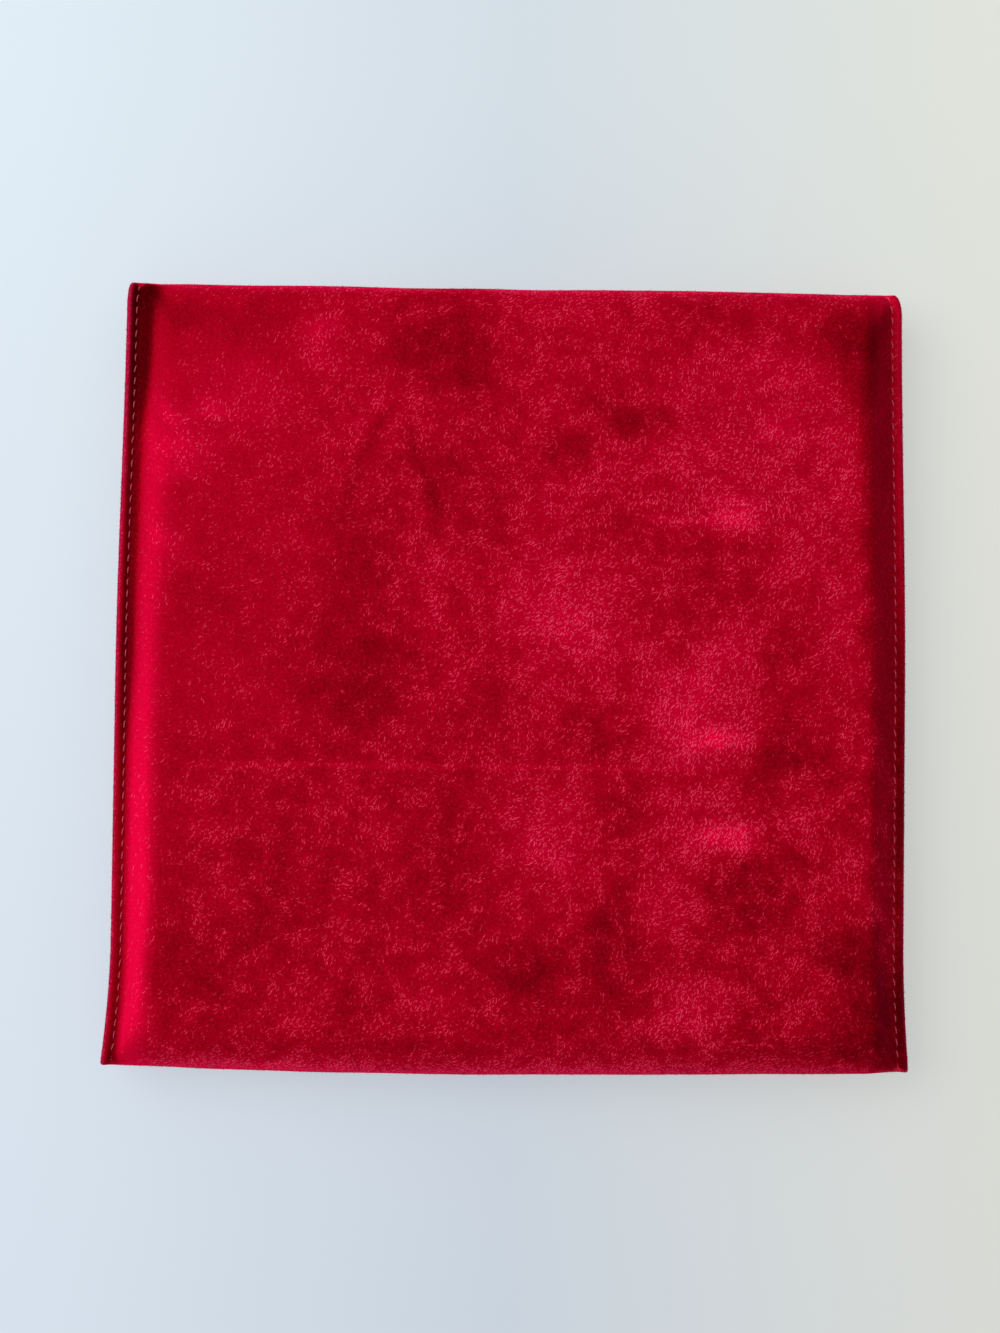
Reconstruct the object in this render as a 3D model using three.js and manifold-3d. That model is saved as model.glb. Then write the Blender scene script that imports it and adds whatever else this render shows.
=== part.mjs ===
// Soft square jewelry pouch with a fold-over flap and a press snap.
// It lies with its plain back up and its flap folded underneath.
// Millimetres, +Z up, +Y towards the top fold. The origin is the middle of what it lies on.
import * as THREE from 'three';
import { mergeVertices } from 'three/addons/utils/BufferGeometryUtils.js';
import Module from 'manifold-3d';

const wasm = await Module();
wasm.setup();

// Outline of the closed pouch
const pouchWidth = 127;
const pouchHeight = 126.2;
const cavityHeight = 5;
const topNarrowing = 0.9;
const bottomFlare = 1.1;
const bottomBow = 1.2;
const topCornerDrop = 0.4;
const foldReach = 8.6;

// Cloth layers, from the outside in
const velvetThickness = 0.9;
const paddingThickness = 1.2;
const stiffenerThickness = 0.5;
const liningThickness = 0.6;
const layerGap = 0.3;

// Turned edges, their stitching and its thread
const stitchInset = 1.8;
const edgeRamp = 5.3;
const edgeRound = 0.4;
const edgeBead = 0.25;
const grooveDepth = 0.55;
const grooveWidth = 0.65;
const threadDiameter = 0.3;
const threadGap = 0.2;

// Mouth and flap
const mouthDrop = 12.5;
const flapLength = 77;
const flapCornerRadius = 6;
const flapClearance = 0.4;
const stepLength = 12;

// Press snap: cap and socket on the flap, stud and post on the pocket
const snapFromFlapEdge = 16;
const capDiameter = 12;
const capThickness = 0.9;
const capRecess = 0.1;
const capDome = 0.55;
const capRimRound = 0.3;
const socketDiameter = 11;
const socketWall = 0.6;
const socketBase = 0.45;
const socketLip = 0.5;
const socketRound = 0.3;
const studDiameter = 10;
const studFlange = 0.4;
const nubDiameter = 3.9;
const nubHead = 0.3;
const nubNeck = 0.2;
const nubWall = 0.35;
const postDiameter = 9.6;
const postThickness = 0.6;
const postRound = 0.3;
const shankDiameter = 2.1;
const clinchThickness = 0.2;
const springWire = 0.5;
const springGapAngle = Math.PI / 4;
const squeezedVelvet = 0.5;
const squeezedLining = 0.5;
const dishSlope = 1.8;
const snapGap = 0.4;
const fitGap = 0.3;

// Heights that follow from the layers
const wall = velvetThickness + paddingThickness + liningThickness + 2 * layerGap;
const flapThickness = velvetThickness + stiffenerThickness + liningThickness + 2 * layerGap;
const frontRise = flapThickness + flapClearance;
const middle = (frontRise + 2 * wall + cavityHeight) / 2;
const halfGap = layerGap / 2;
const seamHalf = velvetThickness + layerGap + liningThickness + halfGap;

// Places that follow from the outline
const topEdge = pouchHeight / 2;
const bottomEdge = -pouchHeight / 2;
const topFlat = topEdge - foldReach;
const bottomFlat = bottomEdge + foldReach;
const mouthEdge = topEdge - mouthDrop;
const flapEdge = topEdge - flapLength;
const snapY = flapEdge + snapFromFlapEdge;
const plateauInset = stitchInset + edgeRamp;
const quarter = Math.PI / 2;

const colours = {
  velvet: new THREE.Color(0.68, 0.02, 0.13),
  lining: new THREE.Color(0.5, 0.02, 0.09),
  padding: new THREE.Color(0.86, 0.84, 0.8),
  stiffener: new THREE.Color(0.6, 0.57, 0.5),
  thread: new THREE.Color(0.55, 0.01, 0.08),
  brass: new THREE.Color(0.8, 0.62, 0.3),
  steel: new THREE.Color(0.7, 0.7, 0.7),
};

const pouch = new THREE.Group();

function addPiece(name, geometry, colour, roughness = 0.95, metalness = 0) {
  const material = new THREE.MeshStandardMaterial({ color: colours[colour], roughness, metalness });
  const mesh = new THREE.Mesh(geometry, material);
  mesh.name = name;
  pouch.add(mesh);
}

function mix(a, b, share) {
  return a + (b - a) * share;
}

function smooth(from, to, value) {
  const share = Math.min(Math.max((value - from) / (to - from), 0), 1);
  return share * share * (3 - 2 * share);
}

// Half the width of the pocket at a height: drawn in at the fold, flared at the bottom corners
function pocketHalfWidth(y) {
  const drawnIn = topNarrowing * smooth(0, topEdge, y);
  const flared = bottomFlare * smooth(bottomEdge / 2, bottomEdge, y) ** 2;
  return pouchWidth / 2 - drawnIn + flared;
}

// The flap is as wide all the way as the pouch is at their fold
function flapHalfWidth() {
  return pocketHalfWidth(topEdge);
}

// How full a wall is at an inset from its edge: 0 at the stitches, 1 on the flat
function fullness(inset) {
  return smooth(stitchInset, plateauInset, inset);
}

// Depth of each face of the layers below the velvet's outer face, by how full the wall is
function layerFaces(filling) {
  const start = velvetThickness + layerGap;
  const liningOuter = (full) => start + (filling + layerGap) * full;
  return {
    velvetOuter: () => 0,
    velvetInner: () => velvetThickness,
    fillingOuter: () => start,
    fillingInner: (full) => liningOuter(full) - layerGap,
    liningOuter,
    liningInner: (full) => liningOuter(full) + liningThickness,
  };
}
const wallFaces = layerFaces(paddingThickness);
const flapFaces = layerFaces(stiffenerThickness);

// Insets at which a turned edge is shaped, and how deep the velvet lies there:
// a rounded rim, a bead, the groove that the stitches pull in, and the bead beyond it
const edgeInsets = [0, edgeRound, stitchInset - grooveWidth, stitchInset, stitchInset + grooveWidth];
const seamEdge = [edgeBead, edgeBead, -edgeBead, grooveDepth - edgeBead, -edgeBead / 2];
const hemEdge = [edgeRound, edgeRound / 8, 0, grooveDepth, 0];
const rampInsets = [0.35, 0.65, 1].map((share) => mix(stitchInset, plateauInset, share));
const stiffenerInsets = rampInsets.slice(1);

// Rows run along a panel's length. Each has a place on the padded flat and one on the side seam:
// y, height above the middle plane, and the way down into the cloth
function foldPlace(crest, reach, height, turn) {
  const out = Math.sign(crest);
  const into = new THREE.Vector2(Math.cos(turn) / reach, Math.sin(turn) / height).normalize();
  const y = crest - out * reach * (1 - Math.cos(turn));
  return { y, z: halfGap + height * Math.sin(turn), inY: -out * into.x, inZ: -into.y };
}

function foldRow(crest, seamCrest, seamReach, seamHeight, turn, fill) {
  const flat = foldPlace(crest, foldReach, middle - halfGap, turn);
  const seam = foldPlace(seamCrest, seamReach, seamHeight, turn);
  return { flat, seam, fill, hem: Infinity, bow: crest < 0 ? 1 : 0 };
}

function wallRow(y, z, seamY, seamZ, hem = Infinity) {
  const flat = { y, z, inY: 0, inZ: -1 };
  const seam = { y: seamY, z: seamZ, inY: 0, inZ: -1 };
  return { flat, seam, fill: 1, hem, bow: 0 };
}

const turns = [0, 0.2, 0.4, 0.6, 0.8].map((share) => share * quarter);
const seamTop = topEdge - topCornerDrop;
const seamBottom = bottomEdge + bottomBow;
const seamRise = seamHalf - halfGap;

function pocketTopFold() {
  return turns.map((turn) => foldRow(topEdge, seamTop, seamHalf, seamRise, turn, smooth(0, quarter, turn)));
}

function pocketBottomFold() {
  return turns.map((turn) => foldRow(bottomEdge, seamBottom, seamHalf, seamRise, turn, 1));
}

const fifths = [0, 0.25, 0.5, 0.75, 1];

function backWall() {
  return fifths.map((share) => {
    const y = mix(topFlat, bottomFlat, share);
    return wallRow(y, middle, mix(seamTop - seamHalf, seamBottom + seamHalf, share), seamHalf);
  });
}

// The front lies on the ground below the flap, and is lifted by it from the flap's free edge on
function frontWall(hems) {
  const stepEnd = flapEdge - flapClearance;
  const steps = fifths.map((share) => mix(stepEnd - stepLength, stepEnd, share));
  const places = [bottomFlat, ...steps, mix(stepEnd, mouthEdge, 0.5), ...hems.map((hem) => mouthEdge - hem)];
  return places.map((y) => {
    const lift = frontRise * smooth(stepEnd - stepLength, stepEnd, y);
    const share = (y - bottomFlat) / (mouthEdge - bottomFlat);
    const seamY = mix(seamBottom + seamHalf, mouthEdge, share);
    return wallRow(y, middle - lift, seamY, seamHalf, mouthEdge - y);
  });
}

function flapRows(hems) {
  const reach = foldReach - topCornerDrop;
  const fold = turns.map((turn) => foldRow(topEdge, seamTop, reach, middle - halfGap, turn, 0));
  const places = [topFlat, topFlat - edgeRamp, mix(topFlat, flapEdge, 0.5), ...hems.map((hem) => flapEdge + hem)];
  return [...fold, ...places.map((y) => {
    const row = wallRow(y, middle, y, middle, y - flapEdge);
    return { ...row, fill: smooth(-topFlat, edgeRamp - topFlat, -y) };
  })];
}

// Columns run across a panel: insets from each side edge, and three places on the flat
function columnsOf(insets) {
  const left = insets.map((inset) => ({ side: -1, inset }));
  const right = insets.map((inset) => ({ side: 1, inset })).reverse();
  return [...left, ...[-0.5, 0, 0.5].map((across) => ({ across })), ...right];
}

// Rounds the corner between a side edge and a hem: square rings become round ones
function roundCorner(inset, hem, radius) {
  const u = radius - inset;
  const v = radius - hem;
  if (u <= 0 || v <= 0) return [inset, hem];
  const scale = Math.max(u, v) / Math.hypot(u, v);
  return [radius - u * scale, radius - v * scale];
}

function edgeDepth(depths, inset) {
  const place = edgeInsets.findIndex((shapedInset) => Math.abs(shapedInset - inset) < 1e-6);
  return place < 0 ? 0 : depths[place];
}

// A point of a sheet's face. A face has a depth by fullness, and edge depths where it is shaped
function sheetPoint(sheet, row, column, face) {
  const half = sheet.halfWidth(row.flat.y);
  const x = column.across === undefined ? 0 : column.across * (half - plateauInset);
  const inset = column.inset ?? half - Math.abs(x);
  const full = fullness(inset);
  const nearest = Math.min(inset, row.hem);
  const edges = row.hem < inset ? hemEdge : sheet.sideEdge;
  const shaped = face.shaped ? edgeDepth(edges, nearest) : 0;
  const depth = face.depth(Math.min(full, fullness(row.hem)) * row.fill) + shaped;
  const bow = row.bow * bottomBow * (x / half) ** 2;
  const [turnedInset, turnedHem] = roundCorner(inset, row.hem, sheet.cornerRadius ?? 0);
  const hemShift = row.hem === Infinity ? 0 : turnedHem - row.hem;
  const y = mix(row.seam.y + depth * row.seam.inY, row.flat.y + bow + depth * row.flat.inY, full);
  const z = mix(row.seam.z + depth * row.seam.inZ, row.flat.z + depth * row.flat.inZ, full);
  const closed = sheet.closedEdge && column.inset !== undefined && column.inset === face.closedInset;
  return new THREE.Vector3(
    column.side ? column.side * (half - turnedInset) : x,
    y + hemShift,
    middle + sheet.up * (closed ? halfGap : z),
  );
}

// A closed sheet between two faces that have the same rows and as many columns
function closedSheet(sheet, rows, outerColumns, innerColumns, outer, inner) {
  const points = [];
  for (const [columns, face] of [[outerColumns, outer], [innerColumns, inner]]) {
    for (const row of rows) {
      for (const column of columns) points.push(sheetPoint(sheet, row, column, face));
    }
  }
  const wide = outerColumns.length;
  const long = rows.length;
  const at = (layer, i, j) => layer * wide * long + i * wide + j;
  const triangles = [];
  const quad = (a, b, c, d) => triangles.push(a, b, c, a, c, d);
  for (let i = 0; i < long - 1; i += 1) {
    for (let j = 0; j < wide - 1; j += 1) {
      quad(at(0, i, j), at(0, i, j + 1), at(0, i + 1, j + 1), at(0, i + 1, j));
      quad(at(1, i, j), at(1, i + 1, j), at(1, i + 1, j + 1), at(1, i, j + 1));
    }
    quad(at(0, i, 0), at(0, i + 1, 0), at(1, i + 1, 0), at(1, i, 0));
    quad(at(0, i, wide - 1), at(1, i, wide - 1), at(1, i + 1, wide - 1), at(0, i + 1, wide - 1));
  }
  for (let j = 0; j < wide - 1; j += 1) {
    quad(at(0, 0, j), at(1, 0, j), at(1, 0, j + 1), at(0, 0, j + 1));
    quad(at(0, long - 1, j), at(0, long - 1, j + 1), at(1, long - 1, j + 1), at(1, long - 1, j));
  }
  return facingOut(solidGeometry(points, triangles));
}

function solidGeometry(points, triangles) {
  const geometry = new THREE.BufferGeometry().setFromPoints(points);
  geometry.setIndex(triangles);
  return geometry;
}

// Turns a closed surface's triangles so that they point out of it
function facingOut(geometry) {
  const position = geometry.getAttribute('position');
  const index = geometry.getIndex();
  const [a, b, c] = [new THREE.Vector3(), new THREE.Vector3(), new THREE.Vector3()];
  let volume = 0;
  for (let i = 0; i < index.count; i += 3) {
    a.fromBufferAttribute(position, index.getX(i));
    b.fromBufferAttribute(position, index.getX(i + 1));
    c.fromBufferAttribute(position, index.getX(i + 2));
    volume += a.dot(b.cross(c));
  }
  if (volume < 0) {
    for (let i = 0; i < index.count; i += 3) {
      const second = index.getX(i + 1);
      index.setX(i + 1, index.getX(i + 2));
      index.setX(i + 2, second);
    }
  }
  return geometry;
}

// Merges shared corners and drops the triangles that have none of their own left
function merged(geometry) {
  const bare = geometry.clone();
  bare.deleteAttribute('normal');
  bare.deleteAttribute('uv');
  const joined = mergeVertices(bare, 1e-4);
  const corners = joined.getIndex().array;
  const kept = [];
  for (let i = 0; i < corners.length; i += 3) {
    const [a, b, c] = corners.slice(i, i + 3);
    if (a !== b && b !== c && c !== a) kept.push(a, b, c);
  }
  joined.setIndex(kept);
  return facingOut(joined);
}

function toSolid(geometry) {
  const closed = merged(geometry);
  const vertProperties = Float32Array.from(closed.getAttribute('position').array);
  const triVerts = Uint32Array.from(closed.getIndex().array);
  return new wasm.Manifold(new wasm.Mesh({ numProp: 3, vertProperties, triVerts }));
}

function toGeometry(solid) {
  const mesh = solid.getMesh();
  const geometry = new THREE.BufferGeometry();
  const position = new THREE.BufferAttribute(Float32Array.from(mesh.vertProperties), 3);
  geometry.setAttribute('position', position);
  geometry.setIndex(new THREE.BufferAttribute(Uint32Array.from(mesh.triVerts), 1));
  return geometry;
}

// A piece turned on the snap's axis, from [radius, height] pairs
function turned(profile) {
  const points = profile.map(([radius, height]) => new THREE.Vector2(radius, height));
  const geometry = new THREE.LatheGeometry(points, 28);
  geometry.rotateX(quarter);
  geometry.translate(0, snapY, 0);
  return merged(geometry);
}

// A thread of round section along a run of points
function threadAlong(points) {
  const sides = 6;
  const corners = [];
  const triangles = [];
  const along = points.map((point, i) => {
    const next = points[Math.min(i + 1, points.length - 1)];
    return next.clone().sub(points[Math.max(i - 1, 0)]).normalize();
  });
  const across = new THREE.Vector3(0.6, 0.1, 0.8);
  points.forEach((point, i) => {
    across.addScaledVector(along[i], -across.dot(along[i])).normalize();
    const up = along[i].clone().cross(across);
    for (let k = 0; k < sides; k += 1) {
      const angle = (2 * Math.PI * k) / sides;
      const corner = point.clone().addScaledVector(across, (threadDiameter / 2) * Math.cos(angle));
      corners.push(corner.addScaledVector(up, (threadDiameter / 2) * Math.sin(angle)));
      if (i === 0) continue;
      const [a, b] = [i * sides + k, i * sides + ((k + 1) % sides)];
      triangles.push(a - sides, b - sides, b, a - sides, b, a);
    }
  });
  const last = corners.length - sides;
  for (let k = 1; k < sides - 1; k += 1) triangles.push(0, k + 1, k, last, last + k, last + k + 1);
  return facingOut(solidGeometry(corners, triangles));
}

// Cloth: what each sheet follows, and the insets and hems at which it has columns and rows
const pocketBack = { halfWidth: pocketHalfWidth, up: 1, sideEdge: seamEdge, closedEdge: true };
const pocketFront = { ...pocketBack, up: -1 };
const flap = { halfWidth: flapHalfWidth, up: -1, sideEdge: hemEdge, cornerRadius: flapCornerRadius };

const velvetInsets = [...edgeInsets, ...rampInsets];
const velvetSeamInsets = [
  velvetThickness, velvetThickness + 0.1, stitchInset - layerGap, ...velvetInsets.slice(3)];
const liningSeamInsets = [velvetThickness + layerGap, stitchInset, edgeInsets.at(-1), ...rampInsets];
const liningEdgeInsets = [edgeRound / 2, stitchInset, edgeInsets.at(-1), ...rampInsets];
const innermostFirst = (insets) => [...insets].reverse();

function velvetSheet(sheet, faces, rows, innerInsets) {
  const outer = { depth: faces.velvetOuter, shaped: true, closedInset: 0 };
  const inner = { depth: faces.velvetInner, closedInset: velvetThickness };
  return closedSheet(sheet, rows, columnsOf(velvetInsets), columnsOf(innerInsets), outer, inner);
}

function innerSheet(sheet, rows, insets, outerDepth, innerDepth) {
  const columns = columnsOf(insets);
  return closedSheet(sheet, rows, columns, columns, { depth: outerDepth }, { depth: innerDepth });
}

const bottomFold = pocketBottomFold();
const backRows = [...pocketTopFold(), ...backWall(), ...[...bottomFold].reverse()];
const backPaddedRows = [...backWall(), ...[...bottomFold].reverse()];
const frontRows = (insets) => [...bottomFold, ...frontWall(innermostFirst(insets))];
const flapRowsTo = (insets) => flapRows(innermostFirst(insets));

// Heights of the press snap, from the ground up: each piece rests on the one before it
const capTop = capRecess + capThickness;
const flapCloth = [capTop, capTop + squeezedVelvet, capTop + squeezedVelvet + squeezedLining];
const socketBottom = flapCloth[2];
const postTop = frontRise + wall - capRecess;
const postBottom = postTop - postThickness;
const pocketCloth = [postBottom - squeezedVelvet - squeezedLining, postBottom - squeezedLining, postBottom];
const studBottom = pocketCloth[0] - studFlange;
const socketTop = studBottom - snapGap;
const holeRadius = shankDiameter / 2 + fitGap;
const dishRadius = capDiameter / 2 + fitGap;
const dishRim = dishRadius + dishSlope;

function snapCylinder(radius) {
  const cylinder = new THREE.CylinderGeometry(radius, radius, 4 * middle, 28);
  return cylinder.rotateX(quarter).translate(0, snapY, middle);
}

// Presses a flat sheet into a dish round the snap: its flat lies from low to high
function pressed(sheet, low, high, dishLow, dishHigh) {
  const overlap = dishRim + fitGap;
  const dish = turned([
    [holeRadius, dishLow], [dishRadius, dishLow], [dishRim, low], [overlap, low],
    [overlap, high], [dishRim, high], [dishRadius, dishHigh], [holeRadius, dishHigh], [holeRadius, dishLow],
  ]);
  return toGeometry(toSolid(sheet).subtract(toSolid(snapCylinder(dishRim))).add(toSolid(dish)));
}

function clearedOfSnap(sheet) {
  return toGeometry(toSolid(sheet).subtract(toSolid(snapCylinder(dishRim + layerGap))));
}

// Velvet outer layer: back and front of the pocket, joined at the bottom fold, and the flap
const velvetBack = velvetSheet(pocketBack, wallFaces, backRows, velvetSeamInsets);
const velvetFront = velvetSheet(pocketFront, wallFaces, frontRows(velvetInsets), velvetSeamInsets);
const velvetFlap = velvetSheet(flap, flapFaces, flapRowsTo(velvetInsets), velvetInsets);
addPiece('velvet_back_panel', velvetBack, 'velvet');
addPiece('velvet_front_panel',
  pressed(velvetFront, frontRise, frontRise + velvetThickness, pocketCloth[0], pocketCloth[1]), 'velvet');
addPiece('velvet_flap', pressed(velvetFlap, 0, velvetThickness, flapCloth[0], flapCloth[1]), 'velvet');

// Lining, sewn in with the velvet
const pocketLining = [wallFaces.liningOuter, wallFaces.liningInner];
const flapLining = [flapFaces.liningOuter, flapFaces.liningInner];
const liningFront = innerSheet(pocketFront, frontRows(liningEdgeInsets), liningSeamInsets, ...pocketLining);
const liningFlap = innerSheet(flap, flapRowsTo(liningEdgeInsets), liningEdgeInsets, ...flapLining);
addPiece('lining_back_panel', innerSheet(pocketBack, backRows, liningSeamInsets, ...pocketLining), 'lining');
addPiece('lining_front_panel',
  pressed(liningFront, frontRise + wall - liningThickness, frontRise + wall, pocketCloth[1], pocketCloth[2]),
  'lining');
addPiece('lining_flap',
  pressed(liningFlap, flapThickness - liningThickness, flapThickness, flapCloth[1], flapCloth[2]), 'lining');

// Padding between velvet and lining, and the flap's stiffener
const padding = [wallFaces.fillingOuter, wallFaces.fillingInner];
const paddingFront = innerSheet(pocketFront, frontRows(rampInsets), rampInsets, ...padding);
const stiffenerRows = flapRowsTo(stiffenerInsets).filter((row) => row.flat.y <= topFlat - edgeRamp);
const stiffenerFaces = [flapFaces.fillingOuter, flapFaces.fillingInner];
const stiffener = innerSheet(flap, stiffenerRows, stiffenerInsets, ...stiffenerFaces);
addPiece('padding_back', innerSheet(pocketBack, backPaddedRows, rampInsets, ...padding), 'padding');
addPiece('padding_front', clearedOfSnap(paddingFront), 'padding');
addPiece('flap_stiffener', clearedOfSnap(stiffener), 'stiffener');

// Threads lie in the grooves that they pull in: the needle's outside, the bobbin's on the other side
const threadLift = threadGap + threadDiameter / 2;
const seamThreadFace = { depth: () => grooveDepth - edgeBead - threadLift };
const needleFace = { depth: () => grooveDepth - threadLift };
const bobbinFace = { depth: () => velvetThickness + layerGap + liningThickness + threadLift };

function seamThread(sheet, rows, side) {
  const column = { side, inset: stitchInset };
  return threadAlong(rows.map((row) => sheetPoint(sheet, row, column, seamThreadFace)));
}

// The flap's thread runs down one side, round both corners and up the other side
function flapThread(face) {
  const ring = flapCornerRadius - stitchInset;
  const corner = fifths.map((share) => flapCornerRadius - ring * Math.tan((share * quarter) / 2));
  const rows = flapRows([flapCornerRadius + edgeRamp, ...corner]);
  const down = (side) => rows.map((row) => sheetPoint(flap, row, { side, inset: stitchInset }, face));
  const hemRow = flapRows([stitchInset]).at(-1);
  const round = [...corner].reverse().slice(1);
  const columns = [
    ...round.map((inset) => ({ side: -1, inset })),
    { across: 0 },
    ...[...round].reverse().map((inset) => ({ side: 1, inset })),
  ];
  const along = columns.map((column) => sheetPoint(flap, hemRow, column, face));
  return threadAlong([...down(-1), ...along, ...down(1).reverse()]);
}

function mouthThread(face) {
  const row = frontWall([stitchInset]).at(-1);
  const columns = columnsOf([mix(stitchInset, plateauInset, 0.5), plateauInset]);
  return threadAlong(columns.map((column) => sheetPoint(pocketFront, row, column, face)));
}

const seamFrontRows = frontRows([2 * stitchInset, ...rampInsets.slice(1)]);
for (const [name, side] of [['left', -1], ['right', 1]]) {
  addPiece(`${name}_seam_needle_thread`, seamThread(pocketBack, backRows, side), 'thread', 0.6);
  addPiece(`${name}_seam_bobbin_thread`, seamThread(pocketFront, seamFrontRows, side), 'thread', 0.6);
}
addPiece('flap_needle_thread', flapThread(needleFace), 'thread', 0.6);
addPiece('flap_bobbin_thread', flapThread(bobbinFace), 'thread', 0.6);
addPiece('mouth_needle_thread', mouthThread(needleFace), 'thread', 0.6);
addPiece('mouth_bobbin_thread', mouthThread(bobbinFace), 'thread', 0.6);

// Snap cap: a low dome whose hollow post goes through the flap and is clinched in the socket
const shankRadius = shankDiameter / 2;
const capRadius = capDiameter / 2;
const clinchRadius = holeRadius + fitGap;
const clinchLow = socketBottom + socketBase;
addPiece('snap_cap', turned([
  ...fifths.map((share) => [
    capRadius * Math.sin(share * quarter), capRecess + capDome * (1 - Math.cos(share * quarter))]),
  [capRadius, capTop - capRimRound / 2], [capRadius - capRimRound, capTop],
  [shankRadius, capTop], [shankRadius, clinchLow], [clinchRadius, clinchLow],
  [clinchRadius, clinchLow + clinchThickness], [0, clinchLow + clinchThickness],
]), 'brass', 0.3, 1);

// Snap socket: a ring with a turned-in lip that keeps the spring
const nubRadius = nubDiameter / 2;
const lipRadius = nubRadius + snapGap;
const socketRadius = socketDiameter / 2;
const socketInner = socketRadius - socketWall;
addPiece('snap_socket', turned([
  [holeRadius, socketBottom], [socketRadius, socketBottom], [socketRadius, socketTop - socketRound],
  [socketRadius - socketRound, socketTop], [lipRadius, socketTop], [lipRadius, socketTop - socketLip],
  [socketInner, socketTop - socketLip], [socketInner, clinchLow], [holeRadius, clinchLow],
  [holeRadius, socketBottom],
]), 'brass', 0.3, 1);

// Snap spring: an open ring of wire round the stud's head
const springRadius = nubRadius + fitGap + springWire / 2;
const springHeight = clinchLow + fitGap + springWire / 2;
const springPoints = Array.from({ length: 17 }, (_, i) => {
  const angle = (springGapAngle - Math.PI) / 2 + ((2 * Math.PI - springGapAngle) * i) / 16;
  return new THREE.Vector3(
    springRadius * Math.cos(angle), snapY + springRadius * Math.sin(angle), springHeight);
});
const wireSection = new THREE.Shape().absarc(0, 0, springWire / 2, 0, 2 * Math.PI);
addPiece('snap_spring', merged(new THREE.ExtrudeGeometry(wireSection, {
  steps: 24, curveSegments: 4, extrudePath: new THREE.CatmullRomCurve3(springPoints),
})), 'steel', 0.35, 1);

// Snap stud: a flange against the pocket and a hollow head that the socket takes
const studRadius = studDiameter / 2;
const headLow = clinchLow + clinchThickness + fitGap;
const headHigh = headLow + nubHead;
const neckRadius = nubRadius - nubNeck;
const boreRadius = neckRadius - nubWall;
addPiece('snap_stud', turned([
  [0, headLow], [neckRadius, headLow], [nubRadius, headLow + nubHead / 2], [nubRadius, headHigh],
  [neckRadius, headHigh + nubHead / 2], [neckRadius, studBottom], [studRadius, studBottom],
  [studRadius, pocketCloth[0]], [boreRadius, pocketCloth[0]], [boreRadius, headLow + nubWall],
  [0, headLow + nubWall],
]), 'brass', 0.3, 1);

// Snap post: a flat button inside the pocket whose shank is pressed into the stud
const postRadius = postDiameter / 2;
const postLow = headLow + nubWall + fitGap;
addPiece('snap_post', turned([
  [0, postTop], [postRadius - postRound, postTop], [postRadius, postTop - postRound],
  [postRadius, postBottom], [shankRadius, postBottom], [shankRadius, postLow], [0, postLow],
]), 'brass', 0.3, 1);

export default pouch;
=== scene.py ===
import bmesh
import bpy
import numpy as np
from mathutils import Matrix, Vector, kdtree, noise


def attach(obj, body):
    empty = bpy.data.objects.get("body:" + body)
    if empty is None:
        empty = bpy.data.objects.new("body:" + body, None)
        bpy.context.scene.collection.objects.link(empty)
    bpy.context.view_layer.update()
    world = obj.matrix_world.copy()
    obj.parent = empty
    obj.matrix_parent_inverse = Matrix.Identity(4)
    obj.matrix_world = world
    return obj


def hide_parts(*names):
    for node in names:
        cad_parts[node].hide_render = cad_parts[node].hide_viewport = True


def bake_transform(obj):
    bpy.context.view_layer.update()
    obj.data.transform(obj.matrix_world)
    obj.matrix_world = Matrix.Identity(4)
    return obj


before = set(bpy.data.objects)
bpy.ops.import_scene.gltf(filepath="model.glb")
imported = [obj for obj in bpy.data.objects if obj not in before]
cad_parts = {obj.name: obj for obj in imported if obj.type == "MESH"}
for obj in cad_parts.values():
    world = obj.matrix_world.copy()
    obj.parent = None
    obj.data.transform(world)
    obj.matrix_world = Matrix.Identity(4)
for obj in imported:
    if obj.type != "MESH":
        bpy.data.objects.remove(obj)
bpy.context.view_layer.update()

# The velvet. One strip of short-napped microfibre is cut flat and laid round the pouch: mouth hem,
# front, bottom fold, back, top fold, flap. It is drawn here the same way, flat and in millimetres,
# then folded, padded out and pulled in at its seams. The pocket's part ends at the top fold's crest.
MM = 0.001
PITCH = 1.9  # between two needle holes
STITCH_INSET = 1.8
CUT_HALF = 63.5  # half the width of the cut strip
TOP, BOTTOM, MOUTH, FLAP_EDGE = 63.1, -63.1, 50.6, -13.9  # up the pouch from its middle
FOLD_REACH, MIDDLE = 8.6, 7.3  # how deep a fold's rounding is, and how high its crest
SEAM_HALF, FLAT_FROM = 1.95, 7.1  # half a seam's thickness, and where the slope beside it ends
TOP_SEAM, BOTTOM_SEAM = 63.1, -62.2  # the ends of the side seams
FRONT_RISE, STEP = 3.0, (-26.3, -14.3)  # the front is lifted by the flap under it
NARROWING, FLARE = 0.9, 1.25  # what half the width loses by the top, and gains at the bottom corners
FLARE_FROM, FLARE_LONG, TUCK_LONG = -42, 21, 3.6
FLARE_SHARES, TUCKED = (1.2, 0.8), (0.35, 0.75)  # left and right, of the flare and at the seams' top ends
SLOPE_LATER = 1.2, 2.2  # how much further in the upper left slope starts and ends
FLAP_HALF, FLAP_CORNER = 62.6, 6.0  # half its width, its corners' radius
CORNER_TOP, CORNER_BOTTOM = 0.85, 0.4  # how round the pocket's corners are
ROUNDER = 1.35  # so much more at the top right and the bottom left
LEFT_LIFT = 0.25  # how far the seam's left end stands above the top fold
BEAD, GROOVE = 1.1, 0.62  # a seam's round edge, and the groove that the stitches pull in
HEM_EDGE, HEM_DROP, BESIDE_SEAM = 0.6, 0.45, 0.25  # a hem's round edge, and the swelling at a seam
VELVET, SQUEEZED_VELVET = 0.95, 0.5  # thickness, and between the snap's plates
HOLE_DEPTH, HOLE_SPREAD, RIPPLE = 0.35, 0.55, 0.06  # what the needle leaves in the cloth
SNAP_Y, DISH, DISH_RIM = 2.1, 6.3, 8.1  # the snap's place, and the dish that it is pressed into
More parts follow.
